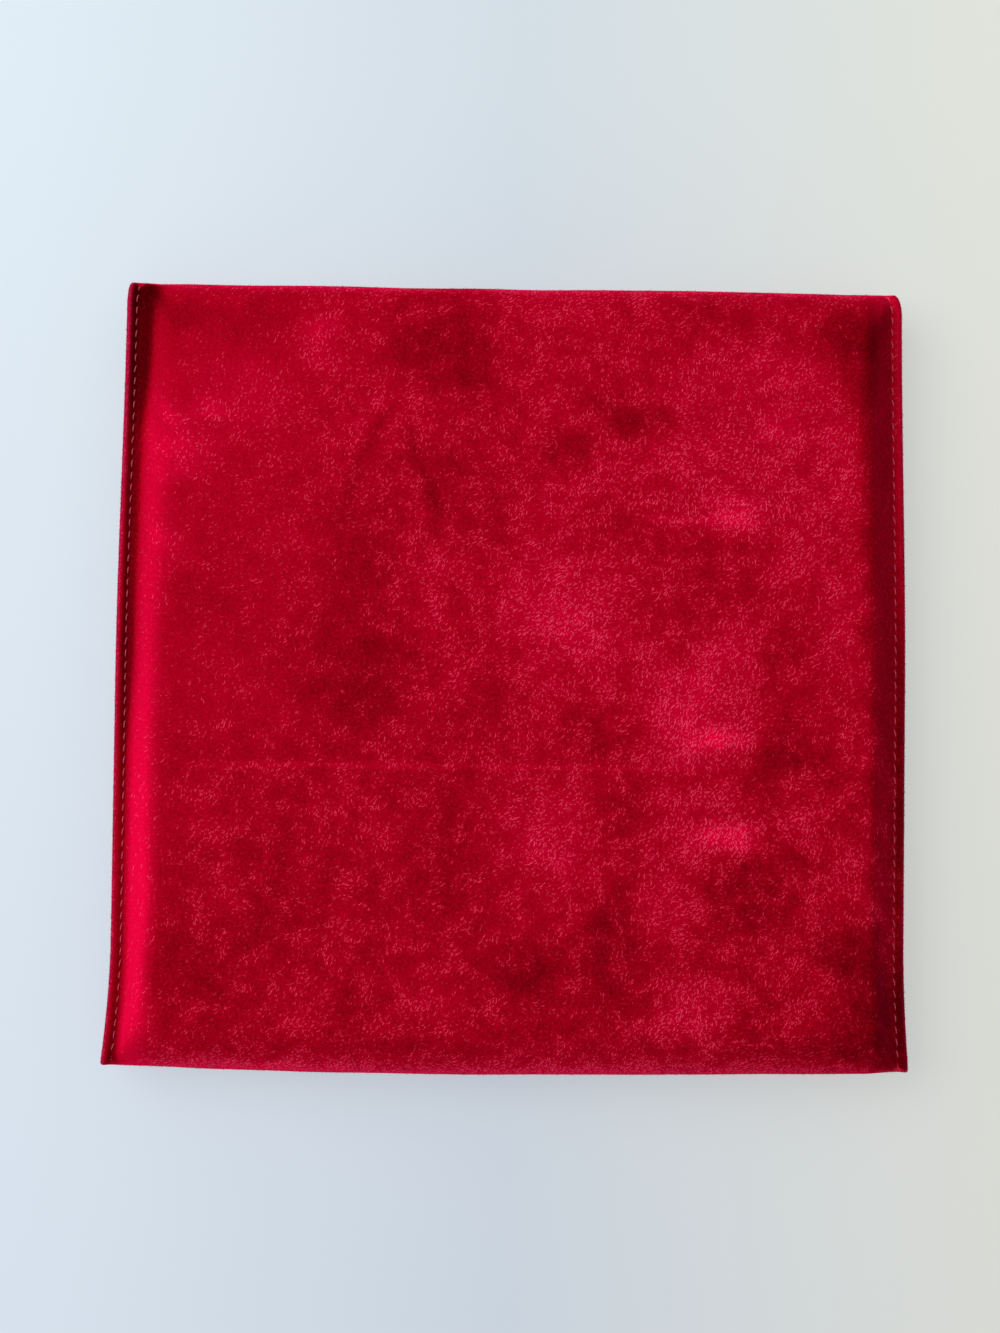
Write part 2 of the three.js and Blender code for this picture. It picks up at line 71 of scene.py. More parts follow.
DISH_DEPTHS = 1.6, 1.0  # in the front and in the flap
NO_HEM = 200.0  # so far from a hem that it has no effect
QUARTER = np.pi / 2


def smooth(start, end, value):
    share = np.clip((value - start) / (end - start), 0, 1)
    return share * share * (3 - 2 * share)


def mix(a, b, share):
    return a + (b - a) * share


def pocket_half(y):
    return CUT_HALF - NARROWING * smooth(0, TOP, y)


def complete(rows, fill=1.0, hem=NO_HEM, free=0.0, half=None):
    y = rows["flat_y"]
    rows["fill"], rows["hem"], rows["free"] = fill + 0 * y, hem + 0 * y, free + 0 * y
    rows["half"] = pocket_half(rows["seam_y"]) if half is None else half + 0 * y
    rows["flare"] = FLARE * np.clip((FLARE_FROM - rows["seam_y"]) / FLARE_LONG, 0, 1) ** 1.8 * (half is None)
    rows["back"] = 0 * y + (rows["flat_z"] > MIDDLE)
    return rows


def fold_rows(crest, seam_crest, seam_reach, seam_height, up, turn, **more):
    """Rows round a fold by their angle from its crest: quarter ellipses on the padding and at the seam."""
    out = np.sign(crest)
    rows = {}
    places = (("flat", crest, FOLD_REACH, MIDDLE), ("seam", seam_crest, seam_reach, seam_height))
    for name, at, reach, height in places:
        into_y, into_z = np.cos(turn) / reach, np.sin(turn) / height
        long = np.hypot(into_y, into_z)
        rows[name + "_y"] = at - out * reach * (1 - np.cos(turn))
        rows[name + "_z"] = MIDDLE + up * height * np.sin(turn)
        rows[name + "_in_y"] = -out * into_y / long
        rows[name + "_in_z"] = -up * into_z / long
    rows["corner"] = out * (CORNER_TOP if crest > 0 else CORNER_BOTTOM) * np.cos(turn)
    rows["bow"] = np.cos(turn) * (crest < 0)
    rows["edge"] = smooth(0, 0.5 * QUARTER, turn)
    return complete(rows, **more)


def wall_rows(y, z, seam_y, seam_z, up, **more):
    rows = {"flat_y": y, "flat_z": z + 0 * y, "seam_y": seam_y, "seam_z": seam_z + 0 * y, "edge": 1 + 0 * y}
    for name in ("flat_in_y", "seam_in_y", "corner", "bow"):
        rows[name] = 0 * y
    rows["flat_in_z"] = rows["seam_in_z"] = 0 * y - up
    return complete(rows, **more)


front_y = np.linspace(MOUTH, BOTTOM + FOLD_REACH, 228)
front_share = (front_y - front_y[-1]) / (MOUTH - front_y[-1])
back_y = np.linspace(BOTTOM + FOLD_REACH, TOP - FOLD_REACH, 252)
back_share = (back_y - back_y[0]) / (back_y[-1] - back_y[0])
flap_y = np.linspace(TOP - FOLD_REACH, FLAP_EDGE, 144)
up_turn, down_turn = np.linspace(0, QUARTER, 19)[1:-1], np.linspace(QUARTER, 0, 19)[1:]
flap_turn = np.linspace(0, QUARTER, 25)[1:-1]
flap_reach = FOLD_REACH - (TOP - TOP_SEAM)
low_seam_y, top_seam_y = BOTTOM_SEAM + SEAM_HALF, TOP_SEAM - SEAM_HALF
segments = [
    wall_rows(
        front_y, FRONT_RISE * smooth(*STEP, front_y), mix(low_seam_y, MOUTH, front_share),
        MIDDLE - SEAM_HALF, -1, hem=MOUTH - front_y,
    ),
    fold_rows(BOTTOM, BOTTOM_SEAM, SEAM_HALF, SEAM_HALF, -1, down_turn),
    fold_rows(BOTTOM, BOTTOM_SEAM, SEAM_HALF, SEAM_HALF, 1, up_turn),
    wall_rows(back_y, 2 * MIDDLE, mix(low_seam_y, top_seam_y, back_share), MIDDLE + SEAM_HALF, 1),
    fold_rows(TOP, TOP_SEAM, SEAM_HALF, SEAM_HALF, 1, down_turn, fill=smooth(0, QUARTER, down_turn)),
    fold_rows(
        TOP, TOP_SEAM, flap_reach, MIDDLE, -1, flap_turn,
        fill=0.0, free=smooth(0, 0.7 * QUARTER, flap_turn), half=FLAP_HALF,
    ),
    wall_rows(
        flap_y, 0, flap_y, 0, -1, fill=smooth(0, 5.3, TOP - FOLD_REACH - flap_y),
        hem=flap_y - FLAP_EDGE, free=1.0, half=FLAP_HALF,
    ),
]
table = {name: np.concatenate([s[name] for s in segments]) for name in segments[0]}
ends = np.cumsum([len(s["flat_y"]) for s in segments])
LAST = ends[-1] - 1
CREST = ends[4] - 1  # where the pocket's velvet ends and the flap's begins
BOTTOM_CREST = ends[1] - 1
steps = np.hypot(np.diff(table["flat_y"]), np.diff(table["flat_z"]))
along = np.concatenate([[0], np.cumsum(steps)])  # mm of cloth up to each row


def of_row(name, row):
    return np.interp(row, np.arange(LAST + 1), along if name == "along" else table[name])


def groove(from_edge):
    return GROOVE * np.exp(-(((from_edge - STITCH_INSET - 0.1) / GROOVE) ** 2))


def quarter_round(from_edge, width):
    return 1 - np.sqrt(np.clip(1 - (1 - np.clip(from_edge / width, 0, 1)) ** 2, 0, 1))


def hemmed(from_edge):
    """How deep the cloth lies at a hem, in its stitched groove and round its edge."""
    return groove(from_edge) + HEM_DROP * quarter_round(from_edge, HEM_EDGE)


def lay(x_cut, row, layer, faces, dent=0.0, shaped=True):
    """Places on the pouch of points of the cut: mm across it, row along it, layer 0 outside to 1 inside.
    faces gives the depths of the two faces under the pouch's outer face, by how padded the place is."""
    at = {name: of_row(name, row) for name in table}
    side, inset = np.sign(x_cut), CUT_HALF - np.abs(x_cut)
    hem, free = at["hem"], at["free"]
    upper = smooth(-20, 60, at["flat_y"]) * at["back"] * (side < 0)
    full = smooth(STITCH_INSET + SLOPE_LATER[0] * upper, FLAT_FROM + SLOPE_LATER[1] * upper, inset)
    padded = np.minimum(full, smooth(STITCH_INSET, FLAT_FROM, hem)) * at["fill"]
    outer, inner = faces(x_cut, padded, at)
    deep = mix(outer, inner, layer) + dent * (1 - 0.6 * layer)
    if shaped:
        nearest = np.minimum(inset, hem)
        sewn = (groove(inset) - BESIDE_SEAM * (1 - smooth(1.2, 3.4, inset))) * at["edge"]
        mouth = hemmed(hem) * smooth(0.6, 2.6, inset)
        deep = deep + mix(sewn + mouth, hemmed(nearest), free) * (1 - 0.7 * layer)
    bow = at["bow"] * (BOTTOM_SEAM - BOTTOM) * (x_cut / CUT_HALF) ** 2
    y = mix(at["seam_y"] + deep * at["seam_in_y"], at["flat_y"] + bow + deep * at["flat_in_y"], full)
    z = mix(at["seam_z"] + deep * at["seam_in_z"], at["flat_z"] + deep * at["flat_in_z"], full)
    if shaped:
        shut = mix(inset, mix(VELVET, STITCH_INSET, inset / STITCH_INSET), layer * (1 - free))
        closing = 1 - quarter_round(inset, mix(BEAD, 0.7, layer))
        z = MIDDLE + (z - MIDDLE) * mix(closing, 1, free)
        wider = np.where(side * at["corner"] > 0, ROUNDER, 1.0)
        y = y - at["corner"] * wider * quarter_round(inset, wider * np.abs(at["corner"]) + 1e-6)
        y = y + LEFT_LIFT * (side < 0) * np.clip(at["corner"], 0, 1) * (1 - smooth(2, 6.5, inset))
        inset = np.where(inset < STITCH_INSET, shut, inset)
    u, v = FLAP_CORNER - inset, FLAP_CORNER - hem
    rounded = (u > 0) & (v > 0) & (free > 0.99)
    scale = np.where(rounded, np.maximum(u, v) / np.maximum(np.hypot(u, v), 1e-6), 1)
    y = y + np.where(rounded, v * (1 - scale), 0)
    inset = np.where(rounded, FLAP_CORNER - u * scale, inset)
    near = 12.0  # this wide a border keeps its width where the strip narrows
    tuck = np.where(side < 0, *TUCKED) * np.clip(1 - (TOP_SEAM - at["seam_y"]) / TUCK_LONG, 0, 1) ** 2
    half = at["half"] + at["flare"] * np.where(side < 0, *FLARE_SHARES) - tuck
    x = np.where(
        CUT_HALF - np.abs(x_cut) < near, side * (half - inset), x_cut * (half - near) / (CUT_HALF - near),
    )
    return np.stack([x, y, z], axis=-1)


def dish(x_cut, at):
    """1 in the round dish that the press snap squeezes into flap and front, 0 outside it."""
    from_snap = np.hypot(x_cut, at["flat_y"] - SNAP_Y)
    return (1 - smooth(DISH, DISH_RIM, from_snap)) * (1 - at["back"])


def mottle(x_cut, row, size, seed):
    """A smooth unevenness over the cut, from -1 to 1, with features of that size in mm."""
    v = of_row("along", row)
    return np.array([noise.noise(Vector((a / size, b / size, seed))) for a, b in zip(x_cut, v)])


def swell(x_cut, row):
    """How far the padding's unevenness pushes the cloth out, or lets it sink."""
    waves = 0.24 * mottle(x_cut, row, 34, 1.7) + 0.13 * mottle(x_cut, row, 12, 5.2)
    border = np.minimum(CUT_HALF - np.abs(x_cut), of_row("hem", row))
    at = {name: of_row(name, row) for name in ("flat_y", "back")}
    return waves * smooth(1.5, 9, border) * mix(0.35, 1.0, at["back"]) * (1 - dish(x_cut, at))


def deselect():
    bpy.ops.object.select_all(action="DESELECT")


def coordinates(thing):
    place = np.zeros(len(thing.data.vertices) * 3, np.float32)
    thing.data.vertices.foreach_get("co", place)
    return place.reshape(-1, 3).astype(float)


def set_coordinates(thing, place):
    thing.data.vertices.foreach_set("co", np.asarray(place, np.float32).ravel())
    thing.data.update()


def punch(cloth, row, radius):
    """Punches a round hole in the flat piece, where the snap's shank goes through it or the snap lies."""
    row_step = of_row("along", row + 0.5) - of_row("along", row - 0.5)
    deselect()
    bpy.ops.mesh.primitive_cylinder_add(
        vertices=32, radius=1, depth=4, location=(0, row, -0.5), scale=(radius, radius / row_step, 1)
    )
    punched = bpy.context.object
    hole = cloth.modifiers.new("Hole", "BOOLEAN")
    hole.operation, hole.solver, hole.object = "DIFFERENCE", "EXACT", punched
    deselect()
    cloth.select_set(True)
    bpy.context.view_layer.objects.active = cloth
    bpy.ops.object.modifier_apply(modifier=hole.name)
    bpy.data.objects.remove(punched)


def cut_cloth(name, insets, middle, first, last, hole, step=1.0, hem=None):
    """A flat piece of cloth, its two faces one unit apart. Lines of points run along it at these insets from
    both sides and at these places in its middle, and rows of points across it, closer along its hem."""
    insets, middle = np.array(insets), np.array(middle)
    half = np.concatenate([middle[middle > 0], (CUT_HALF - insets)[::-1]])
    columns = np.concatenate([-half[::-1], middle[middle == 0], half])
    count = int(round((last - first) / step))
    deselect()
    bpy.ops.mesh.primitive_grid_add(x_subdivisions=len(columns) - 1, y_subdivisions=count, size=2)
    cloth = bpy.context.object
    cloth.name = cloth.data.name = name
    place = coordinates(cloth)
    across = np.rint((place[:, 0] + 1) / 2 * (len(columns) - 1)).astype(int)
    place[:, 0] = columns[across]
    place[:, 1] = first + (last - first) * np.rint((place[:, 1] + 1) / 2 * count) / count
    set_coordinates(cloth, place)
    if hem is not None:
        bpy.ops.object.mode_set(mode="EDIT")
        bpy.ops.mesh.select_all(action="DESELECT")
        mesh = bmesh.from_edit_mesh(cloth.data)
        for edge in mesh.edges:
            a, b = (v.co for v in edge.verts)
            wide = abs(a.y - b.y) < 0.1 and abs(a.x - b.x) > 2.5
            edge.select = bool(wide and hem[0] <= a.y <= hem[1])
        bmesh.update_edit_mesh(cloth.data)
        bpy.ops.mesh.subdivide(number_cuts=5)
        bpy.ops.object.mode_set(mode="OBJECT")
    solidify = cloth.modifiers.new("Solidify", "SOLIDIFY")
    solidify.thickness, solidify.offset, solidify.use_even_offset = 1.0, -1.0, False
    bpy.ops.object.modifier_apply(modifier=solidify.name)
    for row in SNAP_ROWS:
        if first < row < last:
            punch(cloth, row, hole)
    return cloth


def unrolled(inset):
    """The inset measured along the cloth, which goes on round the bead outside the stitches."""
    turn = np.arccos(1 - np.clip(inset / BEAD, 0, 1))
    return np.where(inset < BEAD, BEAD - 1.42 * (QUARTER - turn), inset)


def lay_out(cloth, faces, **more):
    """Takes a flat piece to its place on the pouch. Its UV map keeps the cut, in metres, so that the nap's
    pattern follows the cloth round its folds."""
    place = coordinates(cloth)
    shape = lay(place[:, 0], place[:, 1], -place[:, 2], faces, **more)
    shape[:, 2] = np.maximum(shape[:, 2], 0.0)
    uv = cloth.data.uv_layers[0]
    corner = np.zeros(len(cloth.data.loops), np.int32)
    cloth.data.loops.foreach_get("vertex_index", corner)
    inset = CUT_HALF - np.abs(place[:, 0])
    inset = mix(unrolled(inset), inset, of_row("free", place[:, 1]))
    across = CUT_HALF + np.sign(place[:, 0]) * (CUT_HALF - inset)
    flat = np.stack([across * MM, of_row("along", place[:, 1]) * MM], axis=-1)
    uv.data.foreach_set("uv", flat[corner].astype(np.float32).ravel())
    set_coordinates(cloth, shape * MM)
    deselect()
    cloth.select_set(True)
    bpy.context.view_layer.objects.active = cloth
    bpy.ops.object.shade_smooth_by_angle(angle=np.radians(50))


def velvet_faces(x_cut, padded, at):
    return 0 * padded, 0 * padded + VELVET


def holes_along(x_cut, row, faces=velvet_faces, layer=0, **more):
    """Needle holes at the stitch pitch along a path of the cut: places, ways out of the cloth, rows."""
    face = np.full(len(row), float(layer))
    gone = np.linalg.norm(np.diff(lay(x_cut, row, face, faces, **more), axis=0), axis=1)
    gone = np.concatenate([[0], np.cumsum(gone)])
    at = np.arange(0.5 * PITCH, gone[-1], PITCH)
    x_at, row_at = np.interp(at, gone, x_cut), np.interp(at, gone, row)
    face = face[:1].repeat(len(at))
    hole = lay(x_at, row_at, face, faces, **more)
    out = hole - lay(x_at, row_at, face, faces, dent=0.1, **more)
    out = out * (1 - 2 * layer) / np.linalg.norm(out, axis=1)[:, None]
    return hole, out, row_at


def down_side(side, first, last):
    row = np.linspace(first, last, 1200)
    return 0 * row + side * (CUT_HALF - STITCH_INSET), row


def hem_row(first, last, hem=STITCH_INSET):
    rows = np.arange(first, last + 1)
    order = np.argsort(table["hem"][rows])
    return float(np.interp(hem, table["hem"][rows][order], rows[order]))


flap_hem, mouth_hem = hem_row(ends[5], LAST), hem_row(0, ends[0] - 1)
side_x, side_row = down_side(-1, CREST, flap_hem)
hem_x = np.linspace(STITCH_INSET - CUT_HALF, CUT_HALF - STITCH_INSET, 1200)
mouth_path = np.linspace(-60, 60, 1200), np.full(1200, mouth_hem)
flap_path = (
    np.concatenate([side_x, hem_x[1:], -side_x[::-1][1:]]),
    np.concatenate([side_row, np.full(1199, flap_hem), side_row[::-1][1:]]),
)
holes = {
    "left_seam_needle": holes_along(*down_side(-1, BOTTOM_CREST, CREST)),
    "right_seam_needle": holes_along(*down_side(1, BOTTOM_CREST, CREST)),
    "left_seam_bobbin": holes_along(*down_side(-1, 6, BOTTOM_CREST)),
    "right_seam_bobbin": holes_along(*down_side(1, 6, BOTTOM_CREST)),
    "mouth_needle": holes_along(*mouth_path),
    "flap_needle": holes_along(*flap_path),
}
hole_tree = kdtree.KDTree(sum(len(h[0]) for h in holes.values()))
for index, hole in enumerate(np.concatenate([h[0] for h in holes.values()])):
    hole_tree.insert(hole, index)
hole_tree.balance()


def seam_wave(x_cut, row):
    """A wave along each side seam with its crests at the needle holes, from -1 to 1."""
    wave = 0 * x_cut
    for side, name in ((-1, "left"), (1, "right")):
        seam = np.sort(np.concatenate([holes[f"{name}_seam_bobbin"][2], holes[f"{name}_seam_needle"][2]]))
        phase = np.interp(row, seam, np.arange(len(seam)))
        wave += np.where(np.sign(x_cut) == side, np.cos(2 * np.pi * phase), 0)
    return wave


def puckers(x_cut, row):
    """The small ripples that run from the needle holes up the padded slopes beside the seams."""
    inset = CUT_HALF - np.abs(x_cut)
    rippled = smooth(2.0, 2.8, inset) * (1 - smooth(4.0, 7.2, inset))
    return RIPPLE * seam_wave(x_cut, row) * rippled * (row < CREST) * of_row("edge", row)


SHANK_HOLE = 1.35
SNAP_ROWS = (
    float(np.interp(-SNAP_Y, -front_y, np.arange(len(front_y)))),
    float(ends[5] + np.interp(-SNAP_Y, -flap_y, np.arange(len(flap_y)))),
)
VELVET_INSETS = [
    0, 0.05, 0.15, 0.32, 0.55, 0.82, 1.1, 1.35, 1.58, 1.8, 2.05,
    2.3, 2.65, 3.1, 3.7, 4.4, 5.1, 5.8, 6.5, 7.3, 8.6, 10.4,
]
VELVET_MIDDLE = [0, 1.2, 2.4, 3.6, 4.8, 6, 7.2, 8.4, 10, 14, 18.5, 23, 27.5, 32, 36.5, 41, 45, 49]


def velvet_piece(name, first, last, hem):
    cloth = cut_cloth(name, VELVET_INSETS, VELVET_MIDDLE, first, last, SHANK_HOLE, hem=hem)
    flat = coordinates(cloth)
    x_cut, row, layer = flat[:, 0], flat[:, 1], -flat[:, 2]
    waves = puckers(x_cut, row) - swell(x_cut, row)

    def faces(x_cut, padded, at):
        pressed = dish(x_cut, at)
        sunk = pressed * mix(*DISH_DEPTHS, at["free"]) + waves
        return sunk, sunk + mix(VELVET, SQUEEZED_VELVET, pressed)

    sewn = (CUT_HALF - np.abs(x_cut) < 4) | (of_row("hem", row) < 4)
    dent = np.zeros(len(flat))
    undented = lay(x_cut[sewn], row[sewn], layer[sewn], velvet_faces)
    away = np.array([hole_tree.find(p)[2] for p in undented])
    dent[sewn] = HOLE_DEPTH * np.exp(-((away / HOLE_SPREAD) ** 2))
    dent[sewn] *= smooth(0, 0.7, of_row("edge", row[sewn]))
    paint_nap_and_light(cloth, x_cut, row)
    lay_out(cloth, faces, dent=dent)
    outer = np.array([all(layer[v] < 0.5 for v in p.vertices) for p in cloth.data.polygons])
    return cloth, outer


# Marks left in the nap by hands and packing: mm across, mm up, half width, half height, how much lighter
BRUSHED = [
    (-42, 44, 8, 6, 0.3), (-53, 36, 3.5, 5, 0.95), (-47.5, 42, 3, 2, 0.7), (-32, 53, 2.4, 5, 1.0),
    (-30, 47, 2, 3, 0.3), (34, 48, 22, 5, 0.16), (13, 30, 6, 4, 0.22), (37, 35, 10, 8, 0.26),
    (35, 26.5, 4.2, 2.6, 1.25), (28, 26, 7, 1, 0.8), (44, 39, 4, 4, 0.5), (52, 34, 3.5, 8, 0.4),
    (9, 11, 12, 9, 0.34), (11, 9, 6, 5, 0.25), (35, 6, 4, 5, 0.5), (29, -6, 9, 8, 0.5),
    (33, -8.5, 4.2, 2.3, 1.0), (5.5, -29, 10, 9, 0.38), (26, -30, 3.5, 9, 0.42),
    (34.5, -24.3, 4.2, 2.5, 1.3), (46, -21, 3, 8, 0.3), (-34, -51, 7, 5, 0.3), (28, -51, 6, 4.5, 0.52),
    (-45, -27, 6, 14, 0.15), (-20, -45, 8, 5, 0.15), (46, -46, 4, 9, 0.15), (-54, 21, 2.5, 3.5, 0.5),
    (-11.5, 58, 6.5, 6, -0.6), (-11, 50, 7.5, 5, -0.65), (38, 57, 20, 3.5, -0.25), (53, 54, 5, 4, -0.4),
    (-42, 57, 15, 4, -0.3), (-56, 56, 5, 5, -0.4), (31, -19, 8, 7, 0.3), (52, 15, 3.5, 12, 0.22),
    (-24.5, 6, 6.5, 17, -0.35), (18, 41, 5.5, 3.8, -0.5), (9, 37, 4.5, 3, -0.4),
    (21, 21.5, 5, 6, -0.25), (30, 18, 6, 5, -0.15), (-24, 18, 6, 8, -0.22), (-24.5, 6, 6.5, 7, -0.14),
    (-24, -5, 7, 5, -0.14), (-2, -3, 3, 5, -0.1), (14, -8, 5, 3.5, -0.35), (44, -11.5, 6, 5, -0.4),
    (18.5, -19.5, 3, 6, -0.45), (17, -40, 4.5, 9, -0.45), (37, -33, 8.5, 5.5, -0.55),
    (-12, -20, 5, 7, -0.18), (2.5, -46.5, 4.5, 4.5, -0.48), (-23, -47, 5, 4, -0.3),
    (-37.5, -26, 4, 14, -0.22), (-53, -45, 8, 9, -0.25), (52, -42, 4, 5, -0.35), (0, -1, 16, 7, 0.22),
    (27, -5, 5, 5, 0.2), (44, 18, 6, 6, 0.35), (47, -58, 7, 4, -0.3),
]
# Two creases, painted as shade on the back: from one place to another in mm, and how far each bows out to
# its left
CREASES = [((-18.2, 44.5), (-26.6, 24), -2.2), ((-17.6, 43), (-11.2, 24), -0.6)]


def between(start, end, value, soft):
    """1 from start to end, with soft borders that wide."""
    begun, over = (smooth(place - soft / 2, place + soft / 2, value) for place in (start, end))
    return begun * (1 - over)


def paint_nap_and_light(cloth, x_cut, row):
    """Writes as point attributes how light the nap lies, with painted light and shade on the slopes beside
    the seams and painted highlights on the folds, how sleek it is, and where it is rubbed, whose purplish
    colour is also painted sheen. Sleek is below 0 where the nap is ruffled."""
    y, back, inset = of_row("flat_y", row), of_row("back", row), CUT_HALF - np.abs(x_cut)
    folded, hem = 1 - of_row("edge", row), of_row("hem", row)
    large, small = mottle(x_cut, row, 9, 8.1), mottle(x_cut, row, 4, 3.3)
    marks = 0.0 * x_cut
    u = x_cut + 2.0 * mottle(x_cut, row, 6, 6.6) + 1.6 * small
    v = y + 2.0 * mottle(x_cut, row, 6, 9.9) + 1.6 * mottle(x_cut, row, 3, 1.2)
    for across, up, wide, high, lighter in BRUSHED:
        marks += lighter * np.exp(-0.8 * (((u - across) / wide) ** 2 + ((v - up) / high) ** 2) ** 1.5)
    marks *= 1 + 0.4 * large + 0.3 * small
    imprint = np.exp(-(((y - FLAP_EDGE) / 0.5) ** 2)) * smooth(-50, -40, x_cut) * (1 - smooth(12, 40, x_cut))
    # The back is also drawn a little lighter towards its top and darker towards its bottom.
    marks += 0.4 * imprint + 0.003 * (y + 8)
    # Beside the left seam, painted light on the slope that faces the window, and painted shade in a valley
    # under the top fold and in a dark gutter at the stitches, which fades downwards and comes back at the
    # seam's bottom end.
    down = smooth(20, 44, y) * (1 - smooth(61.2, 62.6, y))
    broad = mix(2.8, 4.9, smooth(24, 50, y)) + 0.6 * smooth(50, 60, y) + 0.25 * large
    fade = mix(0.8, 1.6, smooth(50, 58, y))
    valley = smooth(0.05, 1.65, inset) * (1 - smooth(broad - fade - 0.2, broad + fade, inset)) * down
    upper = smooth(-14, 4, y)
    ending = 1 - smooth(-60, -46, y)
    gutter = between(1.1, mix(2.2, 3.2, upper) + 0.8 * ending, inset, 0.9) * (1 - folded)
    gutter *= mix(0.08, 0.62, smooth(-30, 4, y)) + 0.45 * ending
    reach = mix(7.5, 8.2, upper) + (1 - smooth(-56, -44, y))
    reach += 0.6 * mottle(0 * x_cut, row, 14, 2.9) + 0.4 * large
    start = mix(2.85, 3.9, upper)
    sunny = smooth(start - 1.1, start + 1.1, inset) * (1 - smooth(reach - 2.4, reach + 1.8, inset))
    sunny *= mix(1.9, 0.95, smooth(-40, 20, y)) * (1 - smooth(32, 50, y))
    sunny *= mix(0.35, 1.0, smooth(-61, -50, y))
    left = sunny - 1.75 * np.maximum(valley, gutter)
    # Beside the right seam, painted shade on the slope that faces away from the window, up to a scalloped
    # border, and broadly so at the seam's ends. The seam's bead is painted dark on its lower half and
    # lighter at its two ends.
    border = mix(6.7, 8.1, smooth(-14, 6, y)) - 0.4 * smooth(16, 36, y)
    border += 0.2 * seam_wave(x_cut, row) + 1.1 * large + 0.8 * small
    shady = between(1.95, border, inset, 2.6) * mix(0.28, 0.62, smooth(-25, 25, y))
    shady *= 1 - smooth(52, 60, y)
    streak = between(5.0, 6.6, inset, 1.2) * between(51, 60, y, 4)
    corner = between(4.0, 12.0, inset, 7.0) * between(44, 60, y, 9)
    low = between(1.5, 12.5, inset, 9.0) * (1 - smooth(-48, -32, y))
    bead = 1 - smooth(1.2, 1.9, inset - 0.5 * smooth(10, 58, y))
    right = -shady - 0.12 * streak - 0.5 * corner - 0.52 * low
    right += 0.5 * between(1.2, 4.6, inset, 1.2) * smooth(53, 57, y)
    right += bead * mix(mix(-0.9, 0.2, smooth(-5, 30, y)), 0.5, 1 - smooth(-61.0, -58.5, y))
    nap_and_painted_light = back * (marks + np.where(x_cut < 0, left, right)) + (1 - back) * (0.6 * large + 0.3 * small)
    # Painted highlights on the two folds, where the pile opens, with a thin line just under the top crest
    # and a band along the bottom one.
    nap_and_painted_light += folded * mix(0.8, 0.5, y > 0)
    nap_and_painted_light += 0.85 * back * np.exp(-(((y - 62.45) / 0.75) ** 2)) * (1 - smooth(62.6, 63.05, y))
    lower = mix(1.3, 1.0, smooth(-40, 20, x_cut)) * mix(0.45, 1.0, smooth(-61, -50, x_cut))
    nap_and_painted_light += back * lower * np.exp(-(((y - BOTTOM - 0.3) / 2.6) ** 2))
    # It is sleek on the slopes beside the seams and calm at the upper left, ruffled at the lower right.
    until = np.where(x_cut < 0, 13.0, 8.0)
    sleek = (1 - smooth(5.5, until, inset)) * smooth(0.3, 0.9, inset) * mix(0.6, 1.0, back)
    sleek *= np.where(x_cut < 0, 1, mix(0.3, 0.75, smooth(-20, 20, y)))
    calm = 0.55 * (1 - smooth(-48, -14, x_cut)) * smooth(-30, 0, y) + 0.15 * smooth(35, 50, y)
    calm -= 0.55 * smooth(0, 45, x_cut) * (1 - smooth(-42, 5, y)) + 0.2 * (1 - smooth(-60, -42, y))
    sleek += (1 - sleek) * back * calm
    # Rubbed along the outline and on the fold crests: real wear, and its purplish colour there is also
    # painted sheen.
    fuzzy = 0.3 + (0.15 + 0.25 * smooth(-10, 40, y)) * (x_cut < 0)
    rubbed_and_sheen = 1 - smooth(fuzzy, fuzzy + 0.4, np.minimum(inset, hem))
    rubbed_and_sheen = np.maximum(rubbed_and_sheen, 0.45 * smooth(0.75, 1.0, folded))
    for name, values in (("nap_and_painted_light", nap_and_painted_light), ("sleek", sleek), ("rubbed_and_sheen", rubbed_and_sheen)):
        data = cloth.data.attributes.new(name, "FLOAT", "POINT")
        data.data.foreach_set("value", values.astype(np.float32))


def empty_material(name):
    material = bpy.data.materials.new(name)
    material.use_nodes = True
    tree = material.node_tree
    return material, tree, tree.nodes["Principled BSDF"]


def node(tree, kind, inputs=(), **settings):
    """A shader node with its settings, and its inputs as values or as other nodes' outputs."""
    made = tree.nodes.new(kind)
    for name, value in settings.items():
        setattr(made, name, value)
    for name, value in dict(inputs).items():
        if isinstance(value, bpy.types.NodeSocket):
            tree.links.new(value, made.inputs[name])
        else:
            made.inputs[name].default_value = value
    return made


def calc(tree, operation, a, b=0.0, c=0.0):
    return node(tree, "ShaderNodeMath", {0: a, 1: b, 2: c}, operation=operation).outputs[0]


def times(tree, a, b):
    return calc(tree, "MULTIPLY", a, b)


def linear(tree, value, factor, plus):
    return calc(tree, "MULTIPLY_ADD", value, factor, plus)


def clamped(tree, value):
    return node(tree, "ShaderNodeClamp", {"Value": value}).outputs[0]


def mixed(tree, share, a, b, **settings):
    return node(tree, "ShaderNodeMix", {0: share, 6: a, 7: b}, data_type="RGBA", **settings).outputs[2]


def shifted(tree, where, seed):
    return node(tree, "ShaderNodeMapping", {"Vector": where, "Location": (seed, 0.7 * seed, 0)}).outputs[0]


def cloth_uv(tree):
    return node(tree, "ShaderNodeUVMap", uv_map="UVMap").outputs["UV"]


def speckle(tree, where, size, detail=2.0, roughness=0.6, distortion=0.0):
    """A flat noise on the cloth, from about -0.5 to 0.5, with features of that size in metres."""
    made = node(tree, "ShaderNodeTexNoise", {
        "Vector": where, "Scale": 1 / size, "Detail": detail, "Roughness": roughness,
        "Distortion": distortion,
    }, noise_dimensions="2D")
    return calc(tree, "SUBTRACT", made.outputs["Fac"], 0.5)


def ramp(tree, value, stops):
    made = node(tree, "ShaderNodeValToRGB", {"Fac": value})
    elements = made.color_ramp.elements
    while len(elements) < len(stops):
        elements.new(0.5)
    for element, (position, colour) in zip(elements, stops):
        element.position, element.color = position, (*colour, 1)
    return made.outputs["Color"]


